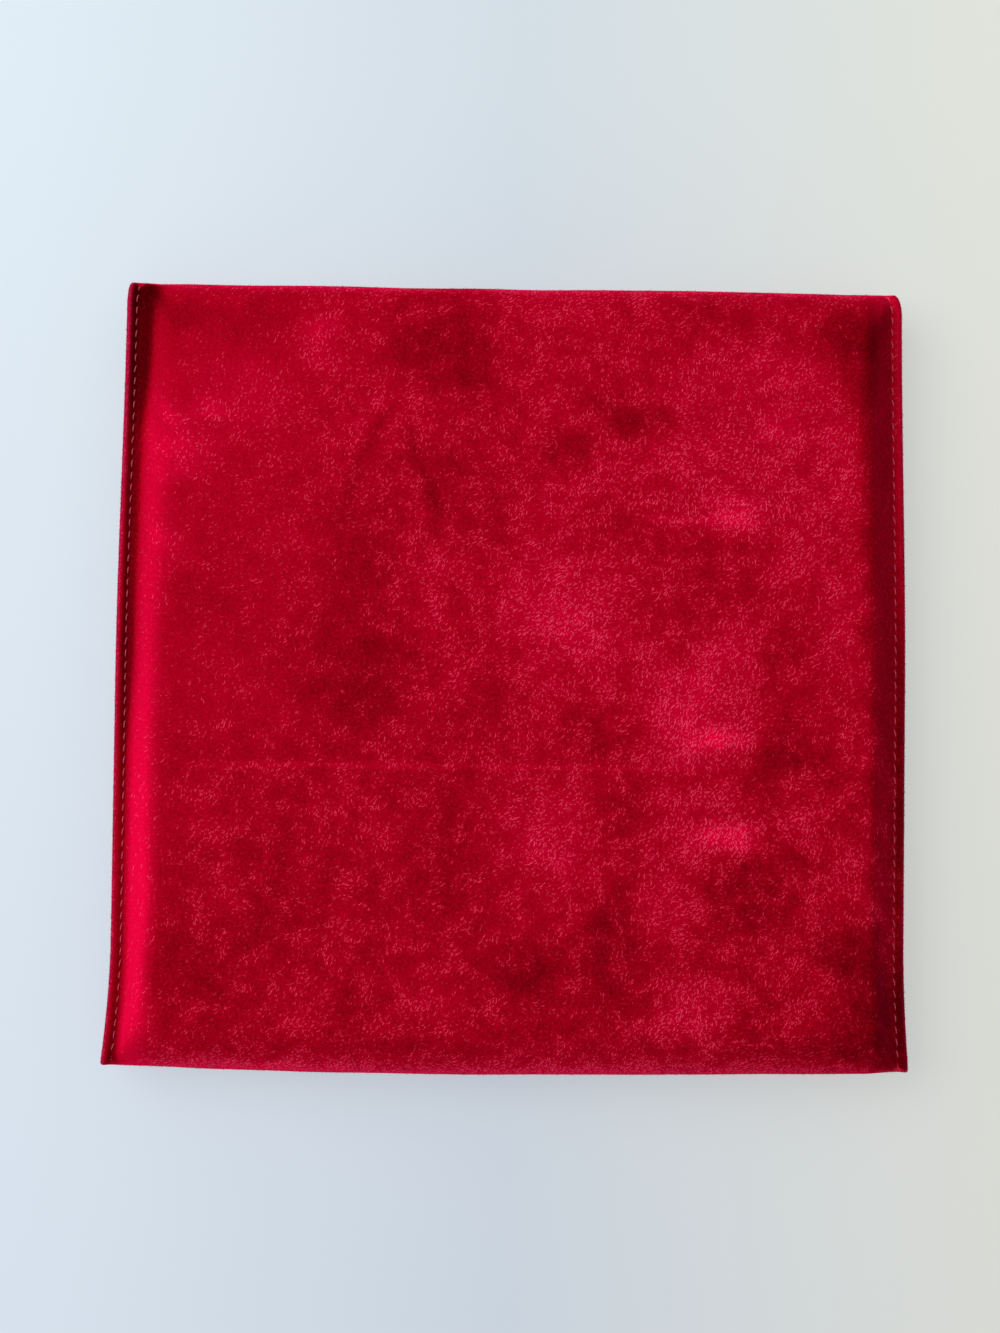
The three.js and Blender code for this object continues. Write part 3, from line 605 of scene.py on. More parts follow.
def dress(tree, shader, colour, constants, height=None, strength=0.5, depth=0.0001):
    """Gives a shader its colour, its constants and a bump, with its depth in metres."""
    tree.links.new(colour, shader.inputs["Base Color"])
    for name, value in constants.items():
        shader.inputs[name].default_value = value
    if height is not None:
        bump = node(tree, "ShaderNodeBump", {"Height": height, "Strength": strength, "Distance": depth})
        tree.links.new(bump.outputs["Normal"], shader.inputs["Normal"])


FIBRE_HALF, FIBRE_POINT = 0.00004, 0.00016  # half a drawn fibre's thickness, and how far its ends taper
CREASE_HALF = 0.0019


def fibre_strokes(tree, where, cell, length, seed, density):
    """Short bent fibres that lie on the cloth, in metres, at most one in each cell of a Voronoi pattern,
    drawn as painted highlights of fibres that catch the light, brighter the nearer they lie to one
    direction. density is the share of the cells that have one."""
    moved = shifted(tree, where, seed)
    pattern = {"Vector": moved, "Scale": 1 / cell}
    cells = node(tree, "ShaderNodeTexVoronoi", pattern, voronoi_dimensions="2D").outputs
    chance = node(tree, "ShaderNodeSeparateXYZ", {0: cells["Color"]}).outputs
    both = {0: moved, 1: cells["Position"]}
    away = node(tree, "ShaderNodeVectorMath", both, operation="SUBTRACT").outputs[0]
    turn = calc(tree, "SUBTRACT", chance["X"], 0.5)
    askew = calc(tree, "ABSOLUTE", turn)
    angle = times(tree, askew, times(tree, turn, 6.0))
    angle = calc(tree, "ADD", angle, linear(tree, speckle(tree, where, 0.012, 1.0), 2.5, -1.0))
    turned = node(tree, "ShaderNodeVectorRotate", {"Vector": away, "Angle": angle}, rotation_type="Z_AXIS")
    place = node(tree, "ShaderNodeSeparateXYZ", {0: turned.outputs[0]}).outputs
    bend = times(tree, times(tree, place["X"], place["X"]), linear(tree, chance["Y"], 2400.0, -1200.0))
    off = calc(tree, "ABSOLUTE", calc(tree, "SUBTRACT", place["Y"], bend))
    reach = linear(tree, chance["Y"], 0.5 * length, 0.5 * length)
    within = calc(tree, "SUBTRACT", reach, calc(tree, "ABSOLUTE", place["X"]))
    within = clamped(tree, times(tree, within, 1 / FIBRE_POINT))
    across = clamped(tree, linear(tree, off, -1 / FIBRE_HALF, times(tree, within, 1.9)))
    there = clamped(tree, times(tree, calc(tree, "SUBTRACT", density, chance["Z"]), 4.0))
    # Painted glint: a fibre is brighter the nearer it lies to one direction.
    bright = times(tree, linear(tree, askew, -1.2, 1.0), linear(tree, chance["Y"], 0.7, 0.6))
    return times(tree, across, times(tree, there, bright))


def crease(tree, where, start, end, bow):
    """1 along a bowed line from one place on the back to another, both in mm, fading at its ends."""
    back_rows = np.arange(BOTTOM_CREST, CREST)
    ends_at = []
    for across, up in (start, end):
        row = np.interp(up, table["flat_y"][back_rows], back_rows)
        ends_at.append(np.array([across + CUT_HALF, float(of_row("along", row))]) * MM)
    span = ends_at[1] - ends_at[0]
    long = float(np.hypot(*span))
    turn = float(np.arctan2(span[1], span[0]))
    placed = node(tree, "ShaderNodeMapping", {
        "Vector": where, "Location": (*ends_at[0], 0), "Rotation": (0, 0, turn), "Scale": (long, long, 1),
    }, vector_type="TEXTURE")
    part = node(tree, "ShaderNodeSeparateXYZ", {0: placed.outputs[0]}).outputs
    left = calc(tree, "SUBTRACT", 1.0, part["X"])
    bowed = times(tree, times(tree, part["X"], left), 4 * bow * MM / long)
    off = calc(tree, "ABSOLUTE", calc(tree, "SUBTRACT", part["Y"], bowed))
    middle = clamped(tree, calc(tree, "SUBTRACT", 1.0, times(tree, off, long / CREASE_HALF)))
    return times(tree, middle, clamped(tree, times(tree, calc(tree, "MINIMUM", part["X"], left), 5.0)))


def velvet_material():
    material, tree, cloth = empty_material("red_velvet_nap")
    uv = cloth_uv(tree)
    # The nap's attribute holds its own marks together with painted light and shade beside the seams and
    # painted highlights on the folds.
    nap_and_painted_light, sleek, rubbed_and_sheen = (
        node(tree, "ShaderNodeAttribute", attribute_name=name).outputs["Fac"]
        for name in ("nap_and_painted_light", "sleek", "rubbed_and_sheen")
    )
    broad, patchy, grain = (speckle(tree, uv, size, 4.0, 0.6) for size in (0.016, 0.0033, 0.00045))
    rough = calc(tree, "MINIMUM", linear(tree, sleek, -0.8, 1.0), 1.1)
    uneven = times(tree, linear(tree, broad, 0.3, times(tree, patchy, 0.29)), rough)
    light = calc(tree, "ADD", linear(tree, nap_and_painted_light, 0.26, 0.5), uneven)
    # Painted shade along the two creases.
    creased = calc(tree, "MAXIMUM", *(crease(tree, uv, *line) for line in CREASES))
    light = linear(tree, creased, -0.11, light)
    red = ramp(tree, linear(tree, grain, 0.46, light), [
        (0.0, (0.055, 0.0001, 0.001)), (0.18, (0.13, 0.0001, 0.0025)), (0.34, (0.25, 0.0002, 0.006)),
        (0.5, (0.41, 0.0003, 0.0115)), (0.7, (0.57, 0.0006, 0.024)), (0.92, (0.86, 0.001, 0.044)),
    ])
    # Painted highlights: more fibres are drawn where the nap is painted lighter, and on the rubbed edges.
    density = linear(tree, light, 2.2, linear(tree, patchy, 1.7, -0.72))
    density = times(tree, calc(tree, "MAXIMUM", density, 0.15), linear(tree, sleek, -0.85, 1.0))
    density = calc(tree, "MAXIMUM", density, times(tree, rubbed_and_sheen, 0.9))
    fibres = 0.0
    for layer in ((0.00072, 0.00036, 0.11), (0.00056, 0.0003, 0.53), (0.00095, 0.0005, 0.31)):
        fibres = calc(tree, "MAXIMUM", fibres, fibre_strokes(tree, uv, *layer, density))
    # The rubbed edges take a purplish colour, partly painted sheen, and the drawn fibres a lighter one,
    # painted highlights that follow the nap's painted light.
    edge = mixed(tree, times(tree, rubbed_and_sheen, 0.6), red, (0.42, 0.006, 0.06, 1))
    lit = ramp(tree, light, [
        (0.1, (0.4, 0.007, 0.03)), (0.5, (0.92, 0.043, 0.105)), (0.8, (1.0, 0.085, 0.19)),
    ])
    height = linear(tree, grain, 0.5, times(tree, patchy, 0.9))
    height = linear(tree, fibres, 0.35, times(tree, height, rough))
    dress(tree, cloth, mixed(tree, fibres, edge, lit), {
        "Roughness": 0.92, "Specular IOR Level": 0.0, "Sheen Weight": 0.2, "Sheen Roughness": 0.35,
        "Sheen Tint": (1.0, 0.02, 0.2, 1),
    }, height, 0.5, 0.00018)
    return material


def mesh_piece(name, points, faces, uvs, material):
    """One object from copies that were placed point by point, in mm."""
    mesh = bpy.data.meshes.new(name)
    mesh.from_pydata((points * MM).tolist(), [], faces)
    piece = bpy.data.objects.new(name, mesh)
    bpy.context.scene.collection.objects.link(piece)
    corner = np.zeros(len(mesh.loops), np.int32)
    mesh.loops.foreach_get("vertex_index", corner)
    mesh.uv_layers.new(name="UVMap").data.foreach_set("uv", uvs[corner].astype(np.float32).ravel())
    mesh.polygons.foreach_set("use_smooth", np.ones(len(mesh.polygons), bool))
    mesh.materials.append(material)
    return piece


def taken_up(master):
    """A small shape's corners and faces, for copying. The shape itself goes."""
    bpy.ops.object.transform_apply(location=True, rotation=True, scale=True)
    points, faces = coordinates(master), [tuple(p.vertices) for p in master.data.polygons]
    bpy.data.objects.remove(master)
    return points, faces


def master_fibre():
    """One loose fibre along X, 1 long and 1 thick, three-sided and pointed at both ends."""
    deselect()
    bpy.ops.mesh.primitive_uv_sphere_add(segments=3, ring_count=3, radius=0.5)
    bpy.ops.transform.rotate(value=QUARTER, orient_axis="Y", center_override=(0, 0, 0))
    bpy.ops.transform.translate(value=(0.5, 0, 0))
    return taken_up(bpy.context.object)


def fibre_material():
    material, tree, fibre = empty_material("red_velvet_fibre")
    tone = calc(tree, "ADD", speckle(tree, cloth_uv(tree), 0.0015, 1.0), 0.5)
    stops = [(0.25, (0.38, 0.003, 0.025)), (0.5, (0.6, 0.015, 0.06)), (0.75, (0.8, 0.045, 0.12))]
    dress(tree, fibre, ramp(tree, tone, stops), {
        "Specular IOR Level": 0.15, "Sheen Weight": 0.3, "Sheen Tint": (1.0, 0.1, 0.3, 1),
    })
    tree.links.new(linear(tree, tone, 0.3, 0.5), fibre.inputs["Roughness"])
    return material


fibre_points, fibre_faces = master_fibre()
velvet_fibre = fibre_material()
rng = np.random.default_rng(11)
FIBRE_LENGTH, FIBRE_THICK, ROOTED = (0.4, 0.9), (0.022, 0.036), 0.06
ON_TOP, ON_EDGES = 0.16, 8.5  # loose fibres a square mm
HEM_ROWS = 9  # rows of the cloth that are closer together along a hem


def loose_fibres(name, cloth, outer, plain, edge):
    """Fibres of the pile that stand out of the velvet, so many a square mm, more where it is rubbed."""
    cloth.data.calc_loop_triangles()
    corners = np.array([t.vertices for t in cloth.data.loop_triangles if outer[t.polygon_index]])
    place = coordinates(cloth) / MM
    a, b, c = (place[corners[:, k]] for k in range(3))
    normal = np.cross(b - a, c - a)
    area = np.linalg.norm(normal, axis=1) / 2
    normal /= 2 * area[:, None] + 1e-9
    rubbed_and_sheen = np.zeros(len(place), np.float32)
    cloth.data.attributes["rubbed_and_sheen"].data.foreach_get("value", rubbed_and_sheen)
    rubbed_and_sheen = rubbed_and_sheen[corners].mean(axis=1)
    expected = area * (plain * (normal[:, 2] > 0.2) + edge * rubbed_and_sheen)
    picked = np.repeat(np.arange(len(area)), rng.poisson(expected))
    count = len(picked)
    share = np.sort(rng.random((count, 2)), axis=1)
    weights = share[:, 0], share[:, 1] - share[:, 0], 1 - share[:, 1]
    root = sum(weight[:, None] * corner[picked] for weight, corner in zip(weights, (a, b, c)))
    out = normal[picked]
    flat = np.cross(out, rng.normal(size=(count, 3)))
    flat /= np.linalg.norm(flat, axis=1)[:, None]
    rise = rng.uniform(0.1, 0.4, count) + rubbed_and_sheen[picked] * rng.uniform(0.0, 0.5, count)
    ahead = flat + rise[:, None] * out
    ahead /= np.linalg.norm(ahead, axis=1)[:, None]
    across = np.cross(out, flat)
    up = np.cross(ahead, across)
    length = rng.uniform(*FIBRE_LENGTH, count) * (1 - 0.45 * rubbed_and_sheen[picked])
    thick, bend = rng.uniform(*FIBRE_THICK, count), rng.normal(0, 0.4, count)
    x, y, z = fibre_points.T
    points = root[:, None] - ROOTED * out[:, None] + (length[:, None] * x)[..., None] * ahead[:, None]
    points += ((thick[:, None] * y) + (bend * length)[:, None] * x**2)[..., None] * across[:, None]
    points += (thick[:, None] * z)[..., None] * up[:, None]
    points[..., 2] = np.maximum(points[..., 2], 0.0)
    faces = [tuple(k + i * len(x) for k in face) for i in range(count) for face in fibre_faces]
    uvs = np.stack([root[:, None, 0] + length[:, None] * x, root[:, None, 1] + 0 * x], axis=-1) * MM
    fibres = mesh_piece(name, points.reshape(-1, 3), faces, uvs.reshape(-1, 2), velvet_fibre)
    return fibres


red_velvet = velvet_material()
pocket_velvet, pocket_outer = velvet_piece("pocket_velvet", 0, CREST, (0, HEM_ROWS))
pocket_velvet.data.materials.append(red_velvet)
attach(pocket_velvet, "pocket")
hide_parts("velvet_back_panel", "velvet_front_panel")
pocket_fibres = loose_fibres("pocket_nap_fibres", pocket_velvet, pocket_outer, ON_TOP, ON_EDGES)
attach(pocket_fibres, "pocket")

# The flap's velvet, the end of the same strip. It starts at the crest of the top fold, where its points meet
# the pocket's one by one.
flap_velvet, flap_outer = velvet_piece("flap_velvet", CREST, LAST, (LAST - HEM_ROWS, LAST))
flap_velvet.data.materials.append(red_velvet)
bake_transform(flap_velvet)
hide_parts("velvet_flap")
flap_fibres = loose_fibres("flap_nap_fibres", flap_velvet, flap_outer, 0.0, ON_EDGES)
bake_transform(flap_fibres)

# The wadding in both walls of the pocket and the pressed interlining in the flap. They are cut short of
# the seams, thin out towards them, have a round hole for the snap, and are shut in by the stitching.
WADDING_INSETS = [2.4, 2.9, 3.5, 4.2, 5.0, 5.8, 6.6, 7.6, 9.5]
WADDING_MIDDLE = [0, 3, 6, 8.2, 10.5, 14, 18.5, 23, 27.5, 32, 36.5, 41, 45, 49.5]
FILLING_TOP, FILLING_END = 0.98, 0.99  # depths under the pouch's face: its top, and where it thins out
WADDING, INTERLINING = 1.68, 0.98  # thickness in the middle


def curls(tree, where, size, width, seed):
    """Short curly strokes: the level lines of one noise, broken up by a second one."""
    moved = shifted(tree, where, seed)
    line = calc(tree, "ABSOLUTE", speckle(tree, moved, size, 1.5, 0.6, 0.6))
    line = clamped(tree, linear(tree, line, -1 / width, 1.0))
    gaps = calc(tree, "SUBTRACT", speckle(tree, moved, 0.6 * size, 1.0), 0.03)
    return times(tree, line, clamped(tree, times(tree, gaps, 10.0)))


def felt_material(name, dark, light, fibre):
    material, tree, felt = empty_material(name)
    uv = cloth_uv(tree)
    tufts, fine = speckle(tree, uv, 0.003, 3.0), speckle(tree, uv, 0.0005)
    strokes = calc(tree, "MAXIMUM", curls(tree, uv, 0.002, 0.04, 0.2), curls(tree, uv, 0.0014, 0.04, 0.6))
    tone = linear(tree, tufts, 0.8, linear(tree, fine, 0.4, 0.5))
    colour = mixed(tree, strokes, ramp(tree, tone, [(0.2, dark), (0.8, light)]), (*fibre, 1))
    dress(tree, felt, colour, {"Roughness": 0.95, "Sheen Weight": 0.15}, tone, 0.6, 0.0003)
    return material


def filling(name, first, last, replaced, material, slot, fill):
    pad = cut_cloth(name, WADDING_INSETS, WADDING_MIDDLE, first, last, DISH_RIM, step=3.0)
    flat = coordinates(pad)
    waves = swell(flat[:, 0], flat[:, 1])

    def faces(x_cut, padded, at):
        top = FILLING_TOP - waves * smooth(0, 0.4, padded)
        return top, FILLING_END + padded * mix(WADDING, INTERLINING, at["free"])

    lay_out(pad, faces, shaped=False)
    pad.data.materials.append(material)
    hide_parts(replaced)
    return pad


wadding = felt_material("white_wadding", (0.62, 0.6, 0.55), (0.84, 0.82, 0.78), (0.9, 0.89, 0.86))
felt = felt_material("pressed_interlining", (0.26, 0.23, 0.17), (0.38, 0.34, 0.26), (0.45, 0.42, 0.34))
in_front, in_back = (6, BOTTOM_CREST - 1), (BOTTOM_CREST + 1, CREST - 2)
wadding_front = filling("wadding_front", *in_front, "padding_front", wadding, "padding_felt", 0.4)
wadding_back = filling("wadding_back", *in_back, "padding_back", wadding, "padding_felt", 0.4)
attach(wadding_front, "pocket")
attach(wadding_back, "pocket")
in_flap = ends[5] + 4, LAST - 5
interlining = filling("flap_interlining", *in_flap, "flap_stiffener", felt, "stiffener_felt", 0.2)
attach(interlining, "flap")

# The lining, a strip of thin knitted cloth behind the wadding. It is sewn in with the velvet at the
# side seams, the mouth and the flap's edge, and goes round the two folds inside the velvet.
LINING_INSETS = [1.0, 1.4, 1.8, 2.2, 2.8, 3.5, 4.3, 5.2, 6.2, 7.4, 9.4]
LINING_MIDDLE = [0, 1.5, 3, 4.5, 6, 7.2, 8.4, 10.5, 14, 18.5, 23, 27.5, 32, 36.5, 41, 45, 49.5]
LINING, SQUEEZED_LINING = 0.6, 0.48
UNDER_VELVET, UNDER_FILLING, AT_SNAP = 1.0, (1.7, 1.0), (2.12, 1.52)  # depths, in the pocket and the flap


def lining_faces(x_cut, padded, at):
    pressed = dish(x_cut, at)
    outer = UNDER_VELVET + padded * mix(*UNDER_FILLING, at["free"])
    outer = mix(outer, mix(*AT_SNAP, at["free"]), pressed)
    return outer, outer + mix(LINING, SQUEEZED_LINING, pressed)


def lining_material():
    material, tree, knit = empty_material("red_knitted_lining")
    uv = cloth_uv(tree)
    waves = {"Vector": uv, "Scale": 1 / 0.0022, "Distortion": 0.4, "Detail": 1.0, "Detail Scale": 2.0}
    ribs, courses = (
        node(tree, "ShaderNodeTexWave", waves, bands_direction=along).outputs["Fac"] for along in "XY"
    )
    loops = times(tree, ribs, courses)
    tone = linear(tree, speckle(tree, uv, 0.012, 3.0), 0.5, linear(tree, loops, 0.5, 0.2))
    stops = [(0.1, (0.13, 0.0006, 0.006)), (0.5, (0.25, 0.0012, 0.013)), (0.9, (0.36, 0.004, 0.03))]
    dress(tree, knit, ramp(tree, tone, stops), {
        "Roughness": 0.7, "Specular IOR Level": 0.2, "Sheen Weight": 0.2, "Sheen Tint": (1.0, 0.1, 0.25, 1),
    }, loops, 0.5, 0.0001)
    return material


red_lining = lining_material()


def lining_piece(name, first, last, *replaced):
    cloth = cut_cloth(name, LINING_INSETS, LINING_MIDDLE, first, last, SHANK_HOLE, step=1.5)
    lay_out(cloth, lining_faces, shaped=False)
    cloth.data.materials.append(red_lining)
    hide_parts(*replaced)
    return cloth


pocket_lining = lining_piece("pocket_lining", 2, CREST, "lining_back_panel", "lining_front_panel")
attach(pocket_lining, "pocket")
flap_lining = lining_piece("flap_lining", CREST, LAST - 2, "lining_flap")
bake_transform(flap_lining)

# The press snap, four turned pieces of plain brass and a spring of wire. Cap and socket clinch the flap
# between them, stud and post clinch the front, and the stud's head is gripped by the spring.
SIDES = 64
CAP_TOP, CLINCH_LOW, HEAD_LOW, SPRING_MIDDLE = 1.0, 2.45, 2.95, 3.0  # heights over the table
STUD_LOW, CLOTH_LOW, POST_LOW, POST_HIGH = 4.2, 4.6, 5.6, 6.2
SHARP_FROM = np.radians(35)


def shape_up():
    bpy.ops.object.mode_set(mode="EDIT")
    bpy.ops.mesh.select_all(action="SELECT")


def close_up():
    """Merges the points that lie on each other, turns the faces outwards and applies the place."""
    bpy.ops.mesh.select_all(action="SELECT")
    bpy.ops.mesh.remove_doubles(threshold=1e-7)
    bpy.ops.mesh.normals_make_consistent(inside=False)
    bpy.ops.object.mode_set(mode="OBJECT")
    bpy.ops.object.transform_apply(location=True, rotation=True, scale=True)


def turned(name, profile, ring=False):
    """A turned piece: a disc or, for a ring, a bare circle, pulled on from corner to corner of its
    profile."""
    (radius, height), corners = profile[0], profile[1:]
    deselect()
    bpy.ops.mesh.primitive_circle_add(
        vertices=SIDES, radius=radius * MM, fill_type="NOTHING" if ring else "NGON",
        location=(0, SNAP_Y * MM, height * MM),
    )
    piece = bpy.context.object
    piece.name = piece.data.name = name
    shape_up()
    for next_radius, next_height in corners + ([profile[0]] if ring else []):
        move = (0, 0, (next_height - height) * MM)
        share = next_radius / radius
        centre = (0, SNAP_Y * MM, next_height * MM)
        bpy.ops.mesh.extrude_region_move(TRANSFORM_OT_translate={"value": move})
        bpy.ops.transform.resize(value=(share, share, 1), center_override=centre)
        radius, height = next_radius, next_height
    close_up()
    bpy.ops.object.shade_smooth_by_angle(angle=SHARP_FROM)
    return piece


def arc(radius_at, height_at, size, start, end, count=5):
    """Corners of a rounded edge of that size round (radius_at, height_at), angles in quarter turns."""
    turns = np.linspace(start, end, count) * QUARTER
    return [(radius_at + size * float(np.cos(t)), height_at + size * float(np.sin(t))) for t in turns]


def metal_material(name, dark, bright, roughness):
    material, tree, metal = empty_material(name)
    where = node(tree, "ShaderNodeTexCoord").outputs["Object"]
    to_snap = {"Vector": where, "Location": (0, -SNAP_Y * MM, 0)}
    centred = node(tree, "ShaderNodeMapping", to_snap).outputs[0]
    marks = {"Vector": centred, "Scale": 2600.0, "Distortion": 1.5, "Detail": 2.0}
    turning = node(tree, "ShaderNodeTexWave", marks, wave_type="RINGS", rings_direction="Z").outputs["Fac"]
    stain = node(tree, "ShaderNodeTexNoise", {"Vector": where, "Scale": 500.0, "Detail": 4.0}).outputs["Fac"]
    tone = linear(tree, turning, 0.25, times(tree, stain, 0.8))
    colour = ramp(tree, tone, [(0.2, dark), (0.7, bright)])
    dress(tree, metal, colour, {"Metallic": 1.0}, tone, 0.25, 0.00002)
    rough = linear(tree, stain, 0.25, linear(tree, turning, 0.06, roughness))
    tree.links.new(rough, metal.inputs["Roughness"])
    return material


brass = metal_material("plain_brass", (0.5, 0.33, 0.12), (0.83, 0.62, 0.29), 0.16)
steel = metal_material("spring_wire", (0.4, 0.4, 0.41), (0.74, 0.74, 0.75), 0.18)
dome_turns = np.linspace(0.04, 1, 14) * QUARTER
dome = [(6 * float(np.sin(t)), 0.1 + 0.55 * (1 - float(np.cos(t)))) for t in dome_turns]
snap_cap = turned("snap_cap_brass", dome + arc(5.82, 0.82, 0.18, 0, 1) + [
    (1.05, CAP_TOP), (1.05, CLINCH_LOW - 0.05), (1.1, CLINCH_LOW), (1.6, CLINCH_LOW),
] + arc(1.55, CLINCH_LOW + 0.1, 0.1, -0.8, 1, 6) + [(0.05, CLINCH_LOW + 0.2)])
snap_socket = turned("snap_socket_brass", [
    (SHANK_HOLE, 2.0), (5.35, 2.0), (5.45, 2.04), (5.5, 2.15), *arc(5.2, 3.5, 0.3, 0, 1), (2.5, 3.8),
    *arc(2.45, 3.7, 0.1, 1, 2), (2.35, 3.3), (4.9, 3.3), (4.9, CLINCH_LOW), (SHANK_HOLE, CLINCH_LOW),
], ring=True)
snap_stud = turned("snap_stud_brass", [
    (0.05, HEAD_LOW), (1.6, HEAD_LOW), *arc(1.7, HEAD_LOW + 0.25, 0.25, -0.8, 0.9, 8), (1.75, 3.4),
    (1.75, 4.1), (1.85, STUD_LOW), (4.8, STUD_LOW), *arc(4.85, STUD_LOW + 0.15, 0.15, -0.8, 0),
    (5.0, CLOTH_LOW), (1.4, CLOTH_LOW), (1.4, HEAD_LOW + 0.35), (0.05, HEAD_LOW + 0.35),
])
snap_post = turned("snap_post_brass", [
    (0.05, POST_HIGH), (4.5, POST_HIGH), *arc(4.5, POST_HIGH - 0.3, 0.3, 1, 0), (4.8, POST_LOW),
    (1.05, POST_LOW), (1.05, 3.6), (0.05, 3.6),
])


def spring_wire():
    """The wire of the spring, swept round the stud's head with its gap towards the flap's edge."""
    ring, gap, wire = 2.5, QUARTER / 2, 0.25
    start = (gap - np.pi) / 2
    centre = (0, SNAP_Y * MM, SPRING_MIDDLE * MM)
    deselect()
    bpy.ops.mesh.primitive_circle_add(
        vertices=12, radius=wire * MM, fill_type="NGON", rotation=(QUARTER, 0, start),
        location=(ring * MM * np.cos(start), centre[1] + ring * MM * np.sin(start), centre[2]),
    )
    piece = bpy.context.object
    piece.name = piece.data.name = "snap_spring_wire"
    shape_up()
    bpy.ops.mesh.spin(steps=56, angle=2 * np.pi - gap, center=centre, axis=(0, 0, 1))
    close_up()
    bpy.ops.object.shade_smooth_by_angle(angle=SHARP_FROM)
    return piece


snap_parts = (
    (snap_cap, "snap_cap", "flap"), (snap_socket, "snap_socket", "flap"),
    (spring_wire(), "snap_spring", "flap"),
    (snap_stud, "snap_stud", "pocket"), (snap_post, "snap_post", "pocket"),
)
for piece, replaced, body in snap_parts:
    springy = replaced == "snap_spring"
    piece.data.materials.append(steel if springy else brass)
    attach(piece, body)
    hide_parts(replaced)

# The stitching: twisted polyester thread, needle side outside and bobbin side inside or on the front.
# Each stitch comes up through one hole, lies in the groove that it pulls in, and goes down the next.
THREAD = 0.19  # thickness
# The rings of a stitch: their share of the way between two holes, and how high they lie
RING_PLACES = np.array([0.15, 0.22, 0.32, 0.5, 0.68, 0.78, 0.85])
RING_HEIGHTS = np.array([-0.4, -0.12, 0.08, 0.16, 0.08, -0.12, -0.4])


def master_stitch():
    """One stitch along X, a ring of six corners at each whole number from 0 to 6."""
    deselect()
    bpy.ops.mesh.primitive_circle_add(
        vertices=6, radius=0.35 * THREAD, fill_type="NGON", rotation=(0, QUARTER, 0),
    )
    stitch = bpy.context.object
    shape_up()
    for index, thicker in enumerate((1.35, 1.1, 1.0, 1.0, 0.91, 0.74)):
        bpy.ops.mesh.extrude_region_move(TRANSFORM_OT_translate={"value": (1, 0, 0)})
        bpy.ops.transform.resize(value=(1, thicker, thicker), center_override=(index + 1, 0, 0))
    close_up()
    return taken_up(stitch)


def thread_material():
    material, tree, thread = empty_material("twisted_red_thread")
    uv = cloth_uv(tree)
    turned_uv = node(tree, "ShaderNodeMapping", {"Vector": uv, "Rotation": (0, 0, 0.6)}).outputs[0]
    twist = {"Vector": turned_uv, "Scale": 900.0, "Distortion": 1.0, "Detail": 1.0}
    plies = node(tree, "ShaderNodeTexWave", twist).outputs["Fac"]
    tone = linear(tree, plies, 0.6, linear(tree, speckle(tree, uv, 0.00025), 0.4, 0.2))
    red = ramp(tree, tone, [(0.1, (0.42, 0.02, 0.06)), (0.6, (0.64, 0.065, 0.13)), (1.0, (0.74, 0.13, 0.2))])
    dress(tree, thread, red, {
        "Roughness": 0.5, "Specular IOR Level": 0.25, "Sheen Weight": 0.15,
        "Sheen Tint": (1.0, 0.3, 0.35, 1),
    }, plies, 0.6, 0.00004)
    return material


red_thread = thread_material()
stitch_points, stitch_faces = master_stitch()
stitch_ring = np.rint(stitch_points[:, 0]).astype(int)


def sew(name, line, lean, replaced):
    """A row of stitches, one between each two neighbouring holes, a little askew by lean, in mm."""
    hole, out = line[:2]
    place, count = RING_PLACES[stitch_ring], len(stitch_points)
    turn = np.arctan2(stitch_points[:, 2], stitch_points[:, 1]) / (2 * np.pi)
    points, faces, uvs = [], [], []
    for i in range(len(hole) - 1):
        up = out[i] + out[i + 1]
        up = up / np.linalg.norm(up)
        ahead = hole[i + 1] - hole[i]
        across = np.cross(up, ahead / np.linalg.norm(ahead))
        slant = lean * rng.normal(1, 0.35)
        lift = RING_HEIGHTS[stitch_ring] + rng.normal(0, 0.04)
        centre = hole[i] + np.outer(place, ahead) + np.outer(lift, up)
        centre = centre + np.outer(slant * (0.5 - place), across)
        points.append(centre + np.outer(stitch_points[:, 1], across) + np.outer(stitch_points[:, 2], up))
        faces += [tuple(k + i * count for k in face) for face in stitch_faces]
        uvs.append(np.stack([(place * PITCH + 2 * i) * MM, turn * np.pi * THREAD * MM], axis=-1))
    row = mesh_piece(name, np.concatenate(points), faces, np.concatenate(uvs), red_thread)
    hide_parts(replaced)
    return row


inner = {"faces": lining_faces, "layer": 1, "shaped": False}
holes["mouth_bobbin"] = holes_along(*mouth_path, **inner)
holes["flap_bobbin"] = holes_along(*flap_path, **inner)
for name, line in holes.items():
    lean = -0.3 if name.startswith("right") else 0.26
    row = sew(f"{name}_stitches", line, lean, f"{name}_thread")
    if name.startswith("flap"):
        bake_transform(row)
    else:
        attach(row, "pocket")

# The table, the light and the view of the photograph: a pale bluish top, a wide soft window of light from
# the left, an even light from all round, and the camera almost straight above the pouch.
deselect()
bpy.ops.mesh.primitive_plane_add(size=3, location=(0, 0, 0))
table_top = bpy.context.object
table_top.name = "pale_table"
material, tree, top = empty_material("pale_table_top")
where = node(tree, "ShaderNodeTexCoord").outputs["Object"]
xyz = node(tree, "ShaderNodeSeparateXYZ", {0: where}).outputs
over_x = {"Value": xyz["X"], "From Min": -0.08, "From Max": 0.08}
over_y = {"Value": xyz["Y"], "From Min": -0.1, "From Max": 0.1}
across, depth = (node(tree, "ShaderNodeMapRange", over).outputs[0] for over in (over_x, over_y))
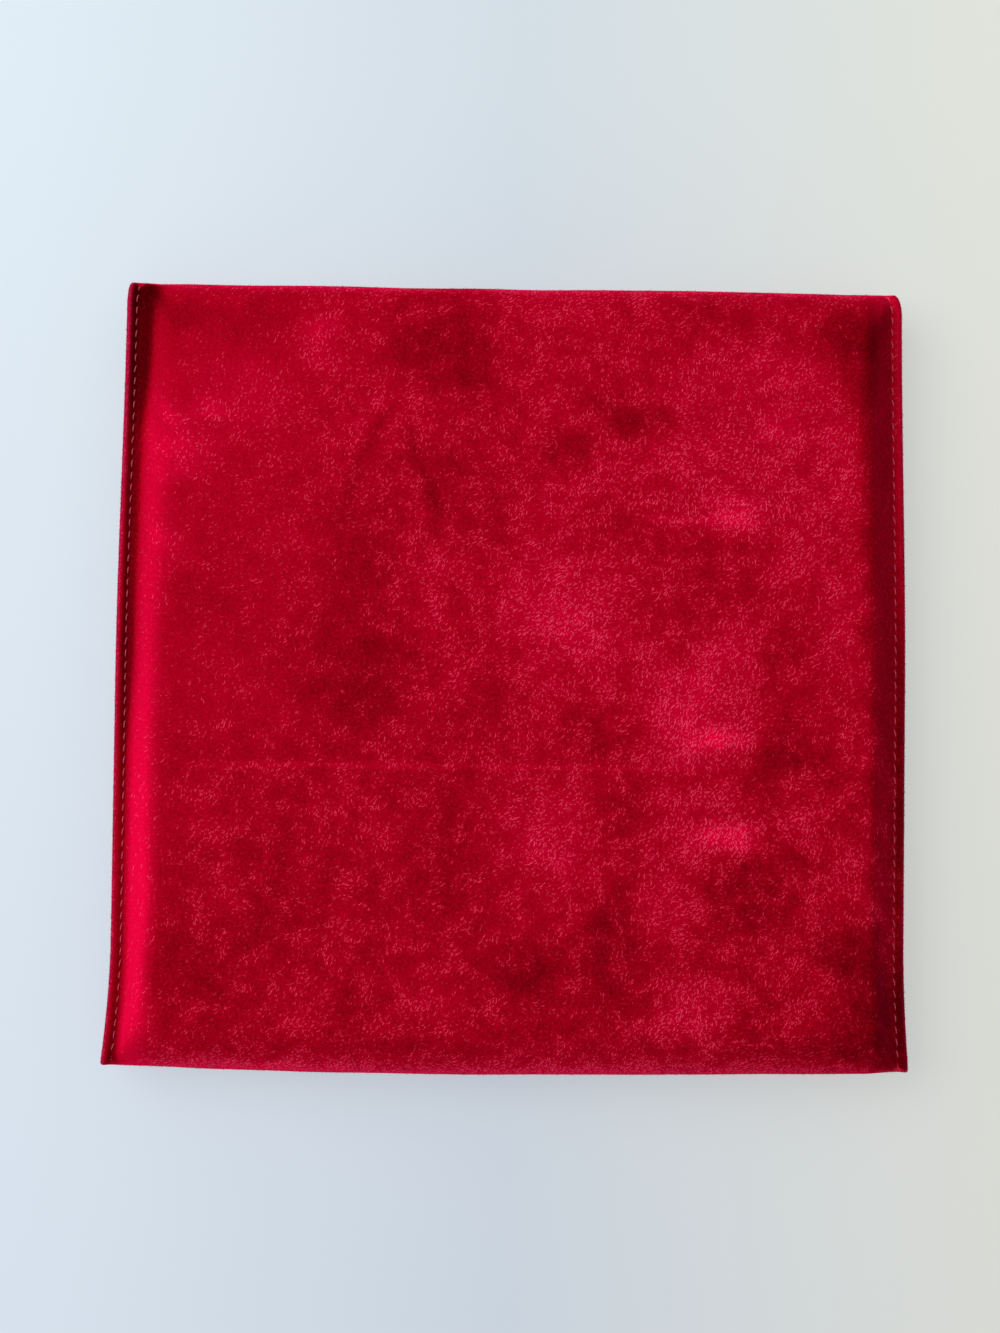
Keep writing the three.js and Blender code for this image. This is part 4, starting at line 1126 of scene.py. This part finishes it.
# The table's colour carries painted light: bluer and lighter at the left, darker in the middle, warmer at
# the right, and a little darker towards the pouch's bottom end.
from_left = [(0.0, (0.745, 0.835, 0.915)), (0.5, (0.66, 0.735, 0.80)), (1.0, (0.775, 0.79, 0.73))]
from_front = [(0.0, (0.95, 0.945, 0.965)), (1.0, (1.03, 1.03, 1.02))]
tone = mixed(
    tree, 1.0, ramp(tree, across, from_left), ramp(tree, depth, from_front), blend_type="MULTIPLY",
)
dress(tree, top, tone, {"Roughness": 0.6, "Specular IOR Level": 0.2})
ray = node(tree, "ShaderNodeLightPath").outputs
seen = calc(tree, "MAXIMUM", ray["Is Glossy Ray"], ray["Is Transmission Ray"])
seen = calc(tree, "MAXIMUM", ray["Is Camera Ray"], seen)
glow = node(tree, "ShaderNodeEmission", {"Color": tone, "Strength": 1.0}).outputs[0]
both = node(tree, "ShaderNodeMixShader", {0: times(tree, seen, 0.64), 1: top.outputs[0], 2: glow})
tree.links.new(both.outputs[0], tree.nodes["Material Output"].inputs["Surface"])
table_top.data.materials.append(material)

world = bpy.data.worlds.new("studio")
world.use_nodes = True
bpy.context.scene.world = world
background = world.node_tree.nodes["Background"]
background.inputs["Color"].default_value = (0.95, 0.98, 1.0, 1)
background.inputs["Strength"].default_value = 0.5
WINDOW, WINDOW_SIZE, WINDOW_WATTS = (-0.58, 0.3, 0.76), 0.9, 6.5
deselect()
bpy.ops.object.light_add(type="AREA", location=WINDOW)
window = bpy.context.object
window.name = "window"
window.rotation_euler = (-Vector(WINDOW)).to_track_quat("-Z", "Y").to_euler()
window.data.shape, window.data.size, window.data.energy = "SQUARE", WINDOW_SIZE, WINDOW_WATTS

bpy.ops.object.camera_add(
    location=(-0.00668, -0.00664, 0.32901), rotation=np.radians((1.552, -0.881, 0.680)),
)
camera = bpy.context.object
camera.data.sensor_width = 36.0
camera.data.lens = 54.0
camera.data.clip_start, camera.data.clip_end = 0.01, 10
bpy.context.scene.camera = camera
bpy.context.scene.view_settings.view_transform = "Standard"
